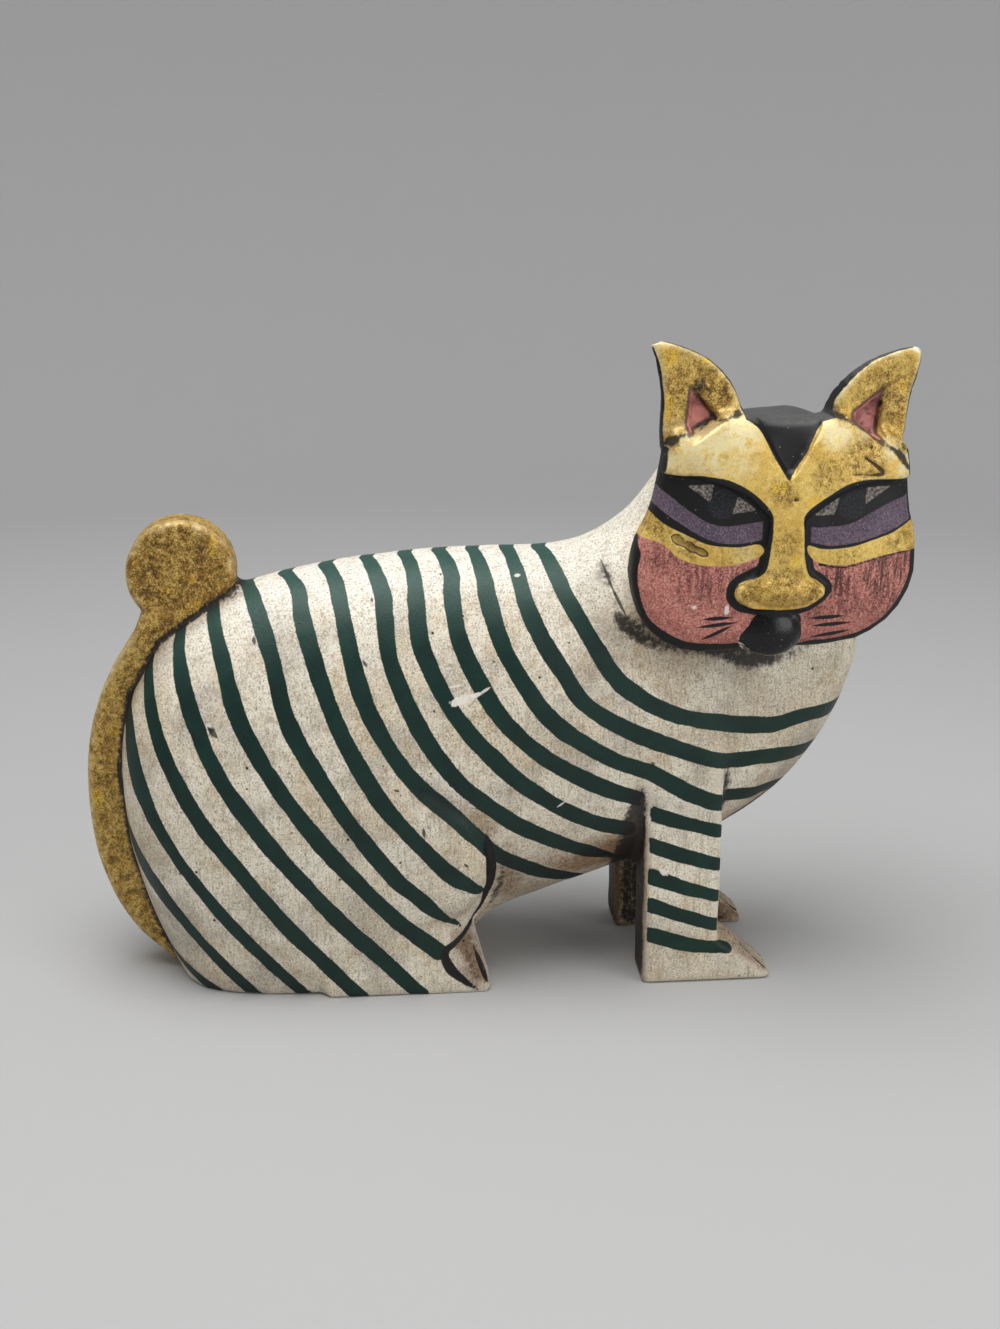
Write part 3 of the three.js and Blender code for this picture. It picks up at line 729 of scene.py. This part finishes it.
pinholes = np.where(front, ovals(PINHOLES, across, up), FAR)
split = np.minimum(on_front((BROW_SPLIT,), closed=False, step=0.3), pinholes)
layout["split"] = split
chalk_front = np.where(on_gold_front | (ears < 1.5), ovals(FACE_CHALK, across, up), FAR)
chalk_front = np.minimum(chalk_front, on_front(CHIN_SCRATCHES, closed=False))
seen_side = spot[:, 1] < MID
layout["chalk"] = np.minimum(chalk_front, np.where(seen_side, on_flank(SCRAPES)[0], FAR))
pit = np.where(seen_side, on_flank((PIT,))[0], FAR)
knocks = (
    ("chipped", CHIP_DEPTH, fade(layout["chip"], 0.4, -0.5)),
    ("split", SPLIT_DEPTH, fade(split, 0.4, -0.3)),
    ("scored", LINE_DEPTH, fade(layout["ink"], 0.6, -0.8)),
    ("seam", SEAM_DEPTH, fade(np.abs(tail_gold), 1.0, 0.2)),
    ("pitted", PIT_DEPTH, fade(pit, 0.8, -0.6)),
)
for name, depth, weights in knocks:
    apply_modifier("DISPLACE", strength=-depth * MM, mid_level=0, vertex_group=weigh(name, weights))
cat.vertex_groups.clear()

# Wash and painted shade
# A thin dark wash was rubbed over the paint and wiped off, and shade is painted in with it: brown on
# undersides, in hollows and on the backs and insides of the legs, nearly black in corners, creases and
# grooves. Ridges are rubbed back to a paler ground.
edges = read(cat.data.edges, "vertices", 2)
degree = np.bincount(edges.ravel(), minlength=len(spot))
spot = places()
normal = read(cat.data.vertices, "normal", 3)


def averaged(values, rounds):
    """Values averaged with their neighbours a number of times."""
    for _ in range(rounds):
        total = values.copy()
        for column in range(values.shape[1]):
            total[:, column] += np.bincount(edges[:, 0], values[edges[:, 1], column], len(spot))
            total[:, column] += np.bincount(edges[:, 1], values[edges[:, 0], column], len(spot))
        values = total / (degree + 1)[:, None]
    return values


# Strokes of near-black wash, partly painted shade: under the jaw, in the foreleg's armpit, before the
# haunch, at the tail's foot
SOOT_AND_SHADE_STROKES = (
    ((35.6, 143, 0.3, 0.5), (36.4, 140.4, 1.3, 0.9), (37.4, 137.6, 1.2, 0.9), (38.8, 133.8, 0.5, 0.8),
     (39.8, 129.6, 0.6, 0.8), (40.6, 126.2, 2, 1), (43.2, 123.6, 2.4, 1), (46.4, 121, 2, 1),
     (49.6, 118.6, 1.4, 1), (54, 116.6, 0.9, 0.9), (63.5, 114.3, 0.7, 0.8), (73, 113.6, 1.2, 0.9),
     (78.3, 112.2, 2.2, 1), (83.3, 111.2, 2.8, 1), (90, 111.6, 2, 1), (100, 113.4, 0.9, 0.8),
     (112, 114, 0.5, 0.6)),
    ((46.6, 72, 0.4, 0.5), (46.8, 66, 1.2, 0.8), (46.4, 60, 2.6, 0.95), (46, 53, 3.6, 1),
     (45.4, 44, 4.4, 1), (45, 38, 4.8, 1)),
    ((2.8, 52, 0.3, 0.5), (3.4, 44, 0.8, 0.7), (2.6, 36, 1.2, 0.75), (0.6, 28, 1, 0.75)),
    ((76.6, 81, 0.3, 0.7), (76.8, 77, 0.9, 1), (76.6, 71, 0.6, 0.8), (76.4, 64, 0.3, 0.5)),
    ((-102, 10.5, 0.8, 0.7), (-92, 0.6, 1.2, 0.8)),
    ((-90.6, 95.2, 0.3, 0.6), (-88, 93, 0.9, 0.9), (-85.6, 91, 0.4, 0.6)),
    ((-9.5, 17, 1, 0.4), (-6.5, 10, 1.6, 0.45), (-4.8, 4.5, 1, 0.4)),
)
# Strokes of brown wash, partly painted shade: along the thigh, before the haunch, on the neck, behind the
# foreleg, on the hind foot
BROWN_AND_SHADE_STROKES = (
    ((-36, 72.6, 0.4, 0.3), (-20, 70.6, 1, 0.45), (-8, 64.5, 1.4, 0.5), (-1, 58.5, 1.2, 0.55)),
    ((4.4, 51, 1, 0.4), (6, 42, 1.8, 0.5), (5, 33, 1.4, 0.5)),
    ((28, 108, 0.5, 0.3), (33, 114, 3, 0.35), (38, 120, 2, 0.45)),
    ((42, 114, 1, 0.4), (56, 111, 1, 0.3), (76, 109, 1, 0.2)),
    ((14, 44, 2, 0.3), (28, 42, 4, 0.55), (40, 46, 5, 0.8)),
    ((-10, 18, 2, 0.8), (-6, 11, 2.5, 0.9), (-4.6, 5, 1.5, 0.8)),
)
# Painted shade in the grooves where the ears meet the brows
GROOVES = (
    ((-37.6, 24.6, 0.4), (-34, 27.4, 0.4), (-31.5, 29, 0.2), (-23, 32.2, 0.1), (-19, 33.8, 0.2),
     (-15.4, 35.4, 0.4)),
    ((11.4, 36.2, 0.4), (16, 34.8, 0.4), (20, 32.6, 0.2), (27, 28.9, 0.2), (31, 26.4, 0.4),
     (34.6, 23.6, 0.9), (38, 20, 0.5)),
)
# Darker blots on the ears
EAR_DARK_BLOTS = (
    (-27, 42.8, 4, 0.7), (-35, 26.2, 2.6, 0.4), (-15.5, 35, 2.2, 0.35), (15, 36, 3, 0.5), (35, 26, 3, 0.5),
)
# Concavity of the skin: corners and broad hollows get painted shade from it, ridges a paler ground
corner = np.einsum("ij,ij->i", averaged(spot, 4) - spot, normal)
hollow = np.einsum("ij,ij->i", averaged(spot, 40) - spot, normal)
x, y, z = spot.T
soot_and_shade_away, soot_and_shade_rows = on_flank(SOOT_AND_SHADE_STROKES, 0.7)
brown_and_shade_away, brown_and_shade_rows = on_flank(BROWN_AND_SHADE_STROKES, 0.7)
grooves = on_front(GROOVES, closed=False)
on_leg = fade(x, 42, 46) * fade(x, 100, 96) * fade(z, 66, 54)
# Painted shade on the backs and insides of the forelegs and on undersides, with dirt between the legs;
# darker along the bottom edge
leg_back_shade = fade(-normal[:, 0], 0.4, 0.8) * on_leg
leg_inside_shade_and_dirt = fade(np.abs(y - LEG_MID), 15.5, 13.2) * on_leg
paw_top = fade(normal[:, 2], 0.2, 0.5) * fade(z, 26, 20)
under = fade(-normal[:, 2], 0.1, 0.7) * fade(z, 0.2, 2)
foot_edge = fade(z, 1.6, 0.5)
in_seam = fade(np.abs(tail_gold), 1.1, 0.2)

behind_head = fade(y, MID - 14, MID - 4) * fade(z, 100, 106)
soot_and_shade_strokes = soot_and_shade_rows[:, 3] * fade(soot_and_shade_away, 1.3, -1.1) * (1 - behind_head)
# Near-black: wash strokes and painted shade in corners, grooves, the tail's corner, the bottom edge and the
# legs
soot_and_shade = soot_and_shade_strokes + fade(corner, 0.14, 0.5) + fade(grooves, 0.9, -0.7)
soot_and_shade = soot_and_shade + 0.5 * in_seam + 0.7 * foot_edge + 0.85 * leg_back_shade + 0.75 * leg_inside_shade_and_dirt
soot_and_shade = soot_and_shade * (1 - 0.8 * fade(-corner, 0.08, 0.3)) + np.where(on_gold_front, blots(EAR_DARK_BLOTS, across, up), 0)
leg_edge = fade(x, 50.0, 50.6) * fade(x, BAR_START + 0.4, BAR_START - 0.4)
leg_edge = leg_edge * fade(np.abs(y - LEG_MID), 28.6, 29.6) * fade(z, 14, 20) * fade(z, 84, 78)
# Brown: wash strokes, and painted shade in broad hollows, on undersides and the backs and insides of the
# legs
brown_and_shade = brown_and_shade_rows[:, 3] * fade(brown_and_shade_away, 5, -2) * (1 - behind_head) + 0.45 * fade(hollow, 0.4, 1.6)
brown_and_shade = brown_and_shade + 0.8 * leg_back_shade + 0.7 * leg_inside_shade_and_dirt + 0.6 * paw_top + 0.5 * under
brown_and_shade = brown_and_shade + 0.5 * fade(np.abs(tail_gold), 5, 1)
layout["soot_and_shade"] = averaged((soot_and_shade * (1 - 0.9 * leg_edge))[:, None], 1)[:, 0]
layout["brown_and_shade"] = averaged(brown_and_shade[:, None], 2)[:, 0]
layout["worn"] = np.maximum(fade(-corner, 0.08, 0.36), 1.6 * leg_edge)
# Painted highlight: upward-facing wood near the top of the back and head is painted lighter, as if lit from
# above
layout["top_highlight"] = fade(normal[:, 2], 0.3, 0.9) * fade(z, 95, 115)

for name, values in layout.items():
    attribute = cat.data.attributes.new(name, "FLOAT", "POINT")
    attribute.data.foreach_set("value", np.clip(values, -FAR, FAR).astype(np.float32))

# Painted finish
# Antique cream over the whole carving, then green stripes, rose, violet, black and gold leaf by hand, all
# under the dark wash with painted shade and rubbed to a satin; upward tops and brows get painted highlight.


def colour(red, green, blue):
    """A colour of the swatch book, 0 to 255 a channel, as the shader's linear values."""
    channels = [value / 255 for value in (red, green, blue)]
    return tuple(c / 12.92 if c <= 0.04045 else ((c + 0.055) / 1.055) ** 2.4 for c in channels) + (1.0,)


class Socket:
    """One output in a material's nodes. Arithmetic on it adds Math nodes."""

    def __init__(self, tree, output=None):
        self.tree = tree
        self.output = output

    def make(self, kind, settings=None, inputs=None, output=0):
        """Adds a node, makes its settings, fills its sockets with values or links, gives an output."""
        node = self.tree.nodes.new(kind)
        for name, value in (settings or {}).items():
            setattr(node, name, value)
        for name, value in (inputs or {}).items():
            if isinstance(value, Socket):
                self.tree.links.new(value.output, node.inputs[name])
            else:
                node.inputs[name].default_value = value
        return Socket(self.tree, node.outputs[output] if node.outputs else None)

    def maths(self, operation, *values):
        return self.make("ShaderNodeMath", {"operation": operation}, dict(enumerate(values)))

    def __add__(self, other):
        return self.maths("ADD", self, other)

    __radd__ = __add__

    def __sub__(self, other):
        return self.maths("SUBTRACT", self, other)

    def __rsub__(self, other):
        return self.maths("SUBTRACT", other, self)

    def __mul__(self, other):
        return self.maths("MULTIPLY", self, other)

    __rmul__ = __mul__

    def least(self, other):
        """The smaller of this value and another."""
        return self.maths("MINIMUM", self, other)

    def ramp(self, low, high):
        """This value as 0 at low to 1 at high, eased and held between."""
        settings = {"interpolation_type": "SMOOTHSTEP"}
        return self.make("ShaderNodeMapRange", settings, {"Value": self, "From Min": low, "From Max": high})

    def mix(self, under, over):
        """One colour over another, by this value."""
        return self.make("ShaderNodeMix", {"data_type": "RGBA"}, {0: self, 6: under, 7: over}, 2)

    def glaze(self, under, tint):
        """One colour darkened by a thin tint, by this value."""
        settings = {"data_type": "RGBA", "blend_type": "MULTIPLY"}
        return self.make("ShaderNodeMix", settings, {0: self, 6: under, 7: tint}, 2)


finish = bpy.data.materials.new("painted_wood")
finish.use_nodes = True
finish.node_tree.nodes.clear()
nodes = Socket(finish.node_tree)


def vector(operation, inputs, output=0):
    """Adds a Vector Math node and gives one of its outputs."""
    return nodes.make("ShaderNodeVectorMath", {"operation": operation}, inputs, output)


object_place = nodes.make("ShaderNodeTexCoord", output="Object")
place = vector("SCALE", {0: object_place, "Scale": 1 / MM})


def painted(name):
    """The distance, in mm, from the edge of a colour on the wood, or the weight of a layer there."""
    return nodes.make("ShaderNodeAttribute", {"attribute_name": name}, output="Fac")


def cloud(size, detail=3.0, roughness=0.55, stretch=(1, 1, 1), shift=0.0):
    """Soft noise with lumps of a size in mm, drawn out along the axes that stretch says."""
    inputs = {0: place, 1: tuple(1 / (size * s) for s in stretch), 2: (shift, shift, shift)}
    where = vector("MULTIPLY_ADD", inputs)
    inputs = {"Vector": where, "Scale": 1.0, "Detail": detail, "Roughness": roughness}
    return nodes.make("ShaderNodeTexNoise", {}, inputs, "Fac")


def cells(size, randomness=1.0):
    """Distance from the nearest of scattered points about a size in mm apart, as a share of it."""
    inputs = {"Vector": place, "Scale": 1 / size, "Randomness": randomness}
    return nodes.make("ShaderNodeTexVoronoi", {}, inputs, "Distance")


EDGE_SOFT = 0.16
wobble = (cloud(5, 2) - 0.5) * 0.9 + (cloud(0.9, 1) - 0.5) * 0.35


def brushed(name, ragged=1.0):
    """How far a colour covers the wood, with the slightly uneven edge of a brush."""
    return (painted(name) + wobble * ragged).ramp(EDGE_SOFT, -EDGE_SOFT)


speckle = cloud(0.5, 2, 0.6)
grain = cloud(0.8, 2, 0.7, shift=17)
grit = cloud(1.6, 3, 0.65, shift=7)
blotch = cloud(26, 4, 0.6)
patch = cloud(11, 4, 0.6, shift=3)
haze = cloud(18, 3, 0.55, shift=40)
streak = cloud(0.7, 3, 0.6, (1, 1, 14))
smudge = cloud(3.2, 4, 0.65, shift=29)
pores = cells(6.0)
dust = cells(2.6)
pepper = cells(1.2)
worn = painted("worn")
top_highlight = painted("top_highlight")


def layered(under, *layers):
    """A colour with others laid over it, each by its own amount."""
    for amount, tint in layers:
        under = amount.mix(under, colour(*tint))
    return under


# Cream ground
cream = layered(
    colour(238, 231, 213),
    (blotch.ramp(0.35, 0.68), (219, 205, 177)),
    (haze.ramp(0.46, 0.66) * 0.6, (170, 163, 150)),
    (patch.ramp(0.48, 0.70) * 0.5, (188, 162, 120)),
    # painted highlight on the upward tops
    (top_highlight * 0.75, (252, 249, 238)),
    (smudge.ramp(0.50, 0.68) * 0.4, (162, 140, 108)),
    (speckle.ramp(0.46, 0.32) * 0.6, (250, 246, 236)),
    (speckle.ramp(0.52, 0.68) * 0.65, (138, 120, 96)),
    (grain.ramp(0.56, 0.70) * 0.6, (104, 88, 70)),
    (streak.ramp(0.50, 0.68) * 0.4, (134, 114, 86)),
    (pepper.ramp(0.20, 0.10) * grit.ramp(0.46, 0.58) * 0.8, (66, 54, 43)),
    (pores.ramp(0.095, 0.055) * smudge.ramp(0.45, 0.57), (44, 36, 30)),
)

# Green stripes
green = layered(
    colour(3, 35, 29),
    (patch.ramp(0.3, 0.7), (7, 46, 38)),
    (speckle.ramp(0.58, 0.8) * 0.35, (30, 72, 62)),
    # painted highlight on the upward tops of the stripes
    (top_highlight * (0.2 + grit * 0.6) * 0.8, (64, 106, 94)),
)
stripes = brushed("green", 0.8)
surface = stripes.mix(cream, green)

# Rose cheeks
scrubbed = cloud(1.1, 3, 0.6, (1, 1, 9), shift=11)
scrub = painted("scrub")
rose = layered(
    colour(212, 138, 124),
    (patch.ramp(0.35, 0.7), (192, 116, 106)),
    (speckle.ramp(0.48, 0.34) * 0.7, (236, 184, 168)),
    (speckle.ramp(0.50, 0.64) * 0.55, (142, 80, 70)),
    ((grain.ramp(0.47, 0.62) * (0.5 + scrub * 0.45)).least(0.92), (98, 50, 44)),
    (scrubbed.ramp(0.62, 0.38) * scrub * 0.9, (70, 38, 35)),
)
cheeks = brushed("rose", 0.3)
surface = cheeks.mix(surface, rose)

# Violet bands
violet = layered(
    colour(104, 86, 102),
    (patch.ramp(0.35, 0.65), (86, 72, 90)),
    (speckle.ramp(0.46, 0.34) * 0.7, (150, 132, 140)),
    (grain.ramp(0.50, 0.66) * 0.7, (48, 40, 48)),
)
bands = brushed("violet", 0.6)
surface = bands.mix(surface, violet)

# Black lines and cap
black_paint = layered(
    colour(12, 12, 15),
    (speckle.ramp(0.62, 0.8) * 0.4, (52, 51, 52)),
    (dust.ramp(0.075, 0.045), (150, 148, 146)),
    # painted sheen on the top of the black cap
    (top_highlight.ramp(0.55, 1.0) * (0.3 + grit * 0.6) * 0.75, (112, 111, 110)),
)
lines = brushed("black", 0.6)
surface = lines.mix(surface, black_paint)

# Gold leaf
tarnish = painted("tarnish")
leaf = brushed("gold", 0.5)
# Paler leaf: painted highlight on the brows and tail rims, with wear on the ridges
pale = (painted("pale") * smudge.ramp(0.28, 0.55) + worn * 0.8).least(0.9)
clay = (painted("ochre") + (smudge - 0.5) * 4.5 + wobble).ramp(0.7, -0.7)
leaf_grain = cloud(0.42, 2, 0.7, shift=51)
rubbed = leaf_grain.ramp(0.50, 0.64) * 0.65 + smudge.ramp(0.50, 0.66) * 0.3 + grit.ramp(0.51, 0.63) * 0.45
rubbed = (rubbed * (0.38 + tarnish * 0.9 + blotch.ramp(0.45, 0.65) * 0.15)).least(0.9) * (1 - 0.75 * pale)
gold = layered(
    colour(237, 203, 110),
    (patch.ramp(0.35, 0.7), (219, 178, 84)),
    (pale, (244, 231, 184)),
    (tarnish * (0.35 + smudge.ramp(0.32, 0.60) * 0.6), (162, 117, 38)),
    (clay * 0.65, (238, 190, 54)),
    (leaf_grain.ramp(0.46, 0.32) * (0.25 + tarnish * 0.5), (250, 222, 132)),
    (grit.ramp(0.46, 0.36) * 0.4, (250, 226, 146)),
    (rubbed, (72, 53, 24)),
)
surface = leaf.mix(surface, gold)

# Eyes and ear hollows
# The irises get a speckled blue-grey over the black, a painted sheen
iris = brushed("iris", 0.4)
surface = (iris * (1 - leaf) * lines * speckle.ramp(0.4, 0.7) * 0.55).mix(surface, colour(62, 66, 72))
eye_white = grain.ramp(0.36, 0.62).mix(colour(158, 150, 140), colour(66, 60, 56))
whites = brushed("eye_white", 0.6)
surface = whites.mix(surface, eye_white)
hollow_paint = layered(
    colour(222, 148, 140),
    (patch.ramp(0.4, 0.65), (146, 88, 94)),
    (smudge.ramp(0.54, 0.66) * 0.7, (78, 44, 56)),
)
hollows = brushed("rose_hollow", 0.5)
surface = hollows.mix(surface, hollow_paint)
hollow_rim = nodes.maths("ABSOLUTE", painted("rose_hollow") + wobble * 0.5).ramp(0.8, 0.2)
surface = (hollow_rim * 0.75).mix(surface, colour(44, 30, 24))
inked = brushed("ink", 0.4)
surface = inked.mix(surface, colour(18, 17, 17))

# Whiskers
face_away = vector("SUBTRACT", {0: place, 1: tuple(HEAD_AT)})


def along(direction):
    """How far a place lies from the middle of the face along a direction, in mm."""
    return vector("DOT_PRODUCT", {0: face_away, 1: tuple(direction)}, "Value")


face_place = nodes.make("ShaderNodeCombineXYZ", {}, {"X": along(ACROSS), "Y": along(UP)})


def flick(where, start, end, half):
    """Distance from the edge of a short stroke that is thin at both ends, less than 0 inside."""
    start, way = np.array(start, float), np.array(end, float) - np.array(start, float)
    away = vector("SUBTRACT", {0: where, 1: tuple(start)})
    share = vector("DOT_PRODUCT", {0: away, 1: tuple(way / (way @ way))}, "Value")
    share = nodes.make("ShaderNodeClamp", {}, {"Value": share})
    reached = vector("SCALE", {0: tuple(way), "Scale": share})
    gap = vector("DISTANCE", {0: away, 1: reached}, "Value")
    return gap - half * 4 * share * (1 - share)


def flicks(where, strokes):
    """Distance from the edge of the nearest of some short strokes, given by their ends and half width."""
    nearest = None
    for start, end, half in strokes:
        stroke = flick(where, start, end, half)
        nearest = stroke if nearest is None else nearest.least(stroke)
    return nearest


WHISKER_HALF = 0.66
whisker = flicks(face_place, [((*start, 0), (*end, 0), WHISKER_HALF) for start, end in WHISKERS])
whisker = (whisker + wobble * 0.2).ramp(0.1, -0.1) * cheeks
surface = whisker.mix(surface, colour(24, 20, 20))

# Wash, painted shade, wear and knocks
bare = (1 - leaf) * (1 - lines) * (1 - stripes)
rubbed_ridge = worn * patch.ramp(0.38, 0.58) * bare * 0.65
surface = rubbed_ridge.mix(surface, colour(226, 216, 196))
# Brown wash glazed over the paint, partly painted shade
brown_and_shade = (painted("brown_and_shade") * (0.25 + grit * 1.0 + streak * 0.5)).least(0.9)
brown_and_shade = brown_and_shade * (1 - 0.8 * hollows) * (1 - 0.6 * leaf)
surface = brown_and_shade.glaze(surface, colour(138, 106, 74))
# Near-black wash with painted shade in corners, creases and behind the legs
soot_and_shade = painted("soot_and_shade")
soot_and_shade = (soot_and_shade + (grit - 0.5) * 1.3 + (streak - 0.5) * 0.3).ramp(0.15, 0.8) * soot_and_shade.ramp(0.02, 0.3)
soot_and_shade = (soot_and_shade * 0.95) * (1 - 0.7 * hollows)
chip = painted("chip") + wobble * 0.9
chip_floor = chip.ramp(0.1, -0.3)
chip_edge = nodes.maths("ABSOLUTE", chip).ramp(0.36, 0.1) * smudge.ramp(0.36, 0.50)
cracked = (painted("split") + wobble * 0.8).ramp(0.15, -0.15) * smudge.ramp(0.38, 0.48)
chalked = (painted("chalk") + wobble + (grit - 0.5) * 1.6).ramp(0.2, -0.2)
flank_place = vector("MULTIPLY", {0: place, 1: (1, 0, 1)})
seen = nodes.make("ShaderNodeSeparateXYZ", {}, {"Vector": place}, "Y").ramp(MID - 2, MID - 6)


def near_flank(strokes):
    """How far some thin strokes on the near flank, with their ends and half width, cover the paint."""
    rows = [((x0, 0, z0), (x1, 0, z1), half) for (x0, z0), (x1, z1), half in strokes]
    return (flicks(flank_place, rows) + wobble * 0.4).ramp(0.15, -0.15) * seen


surface = layered(
    surface,
    (soot_and_shade, (24, 20, 19)),
    (chip_floor * 0.55, (124, 96, 50)),
    (chip_edge * 0.9, (34, 24, 16)),
    (cracked * 0.9, (30, 20, 14)),
    (chalked * 0.9, (236, 230, 218)),
    (near_flank(NICKS) * 0.85, (26, 21, 19)),
    (near_flank(SCRATCHES) * 0.8, (232, 228, 218)),
)

wet = painted("mouth").ramp(0.3, -0.5)
metal = leaf * (1 - hollows) * (1 - rubbed) * (1 - soot_and_shade) * 0.32
dull = 0.52 + 0.3 * (speckle - 0.5) - 0.04 * leaf - 0.04 * stripes - 0.26 * wet + 0.12 * brown_and_shade
height = speckle * 0.35 + grit * 0.5 + streak * 0.25 - pores.ramp(0.085, 0.04) * 0.6 + leaf * grain * 0.5
bump_inputs = {"Height": height, "Strength": 0.35, "Distance": 0.35 * MM}
bump = nodes.make("ShaderNodeBump", {}, bump_inputs, "Normal")
shader = nodes.make("ShaderNodeBsdfPrincipled", {}, {
    "Base Color": surface, "Roughness": dull, "Metallic": metal, "Normal": bump, "Specular IOR Level": 0.36,
})
nodes.make("ShaderNodeOutputMaterial", {}, {"Surface": shader})
cat.data.materials.append(finish)
cat.data.polygons.foreach_set("material_index", np.zeros(len(cat.data.polygons), np.int32))
bpy.ops.object.shade_smooth()

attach(cat, "root")
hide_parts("cat")

# Studio
# A plain pale floor that sweeps up into a wall all round, under a large soft lamp overhead and a weaker one
# in front and to the right.
FLOOR_FLAT = 0.8
FLOOR_SIDES = 96
SWEEP = 0.5
WALL_TOP = 1.3
SWEEP_STEPS = 10
PAPER_GREY = 184
PAPER_ROUGHNESS = 0.9

bpy.ops.object.select_all(action="DESELECT")
bpy.ops.mesh.primitive_circle_add(vertices=FLOOR_SIDES, radius=FLOOR_FLAT, fill_type="NGON")
floor = bpy.context.object
floor.name = "studio_floor"
bpy.ops.object.mode_set(mode="EDIT")
bpy.context.tool_settings.mesh_select_mode = (False, True, False)
bpy.ops.mesh.select_all(action="SELECT")
reach = FLOOR_FLAT
rise = 0.0
for step in range(1, SWEEP_STEPS + 1):
    angle = step / SWEEP_STEPS * math.pi / 2
    wider = FLOOR_FLAT + SWEEP * math.sin(angle)
    higher = SWEEP * (1 - math.cos(angle))
    bpy.ops.mesh.extrude_edges_move(TRANSFORM_OT_translate={"value": (0, 0, higher - rise)})
    bpy.ops.transform.resize(value=(wider / reach, wider / reach, 1))
    reach = wider
    rise = higher
bpy.ops.mesh.extrude_edges_move(TRANSFORM_OT_translate={"value": (0, 0, WALL_TOP - rise)})
bpy.ops.mesh.select_all(action="SELECT")
bpy.ops.mesh.normals_make_consistent(inside=True)
bpy.ops.object.mode_set(mode="OBJECT")
bpy.ops.object.shade_smooth()

paper = bpy.data.materials.new("pale_paper")
paper.use_nodes = True
paper_shader = paper.node_tree.nodes["Principled BSDF"]
paper_shader.inputs["Base Color"].default_value = colour(PAPER_GREY, PAPER_GREY, PAPER_GREY)
paper_shader.inputs["Roughness"].default_value = PAPER_ROUGHNESS
floor.data.materials.append(paper)

SKY = 0.5
LAMP_POWER = 9.6
FILL_POWER = 3.4
world = bpy.data.worlds.new("studio")
world.use_nodes = True
world.node_tree.nodes["Background"].inputs["Color"].default_value = (1, 1, 1, 1)
world.node_tree.nodes["Background"].inputs["Strength"].default_value = SKY
bpy.context.scene.world = world
bpy.context.scene.view_settings.view_transform = "Standard"


def lamp(name, location, target, size, power):
    """A square soft lamp that faces a target."""
    bpy.ops.object.light_add(type="AREA", location=location)
    light = bpy.context.object
    light.name = name
    light.data.size = size
    light.data.energy = power
    light.rotation_euler = (Vector(target) - Vector(location)).to_track_quat("-Z", "Y").to_euler()


lamp("overhead", (-0.15, -0.15, 1.05), (0, 0, 0.1), 0.8, LAMP_POWER)
lamp("front_fill", (0.75, -0.7, 0.35), (0.03, 0, 0.1), 0.6, FILL_POWER)
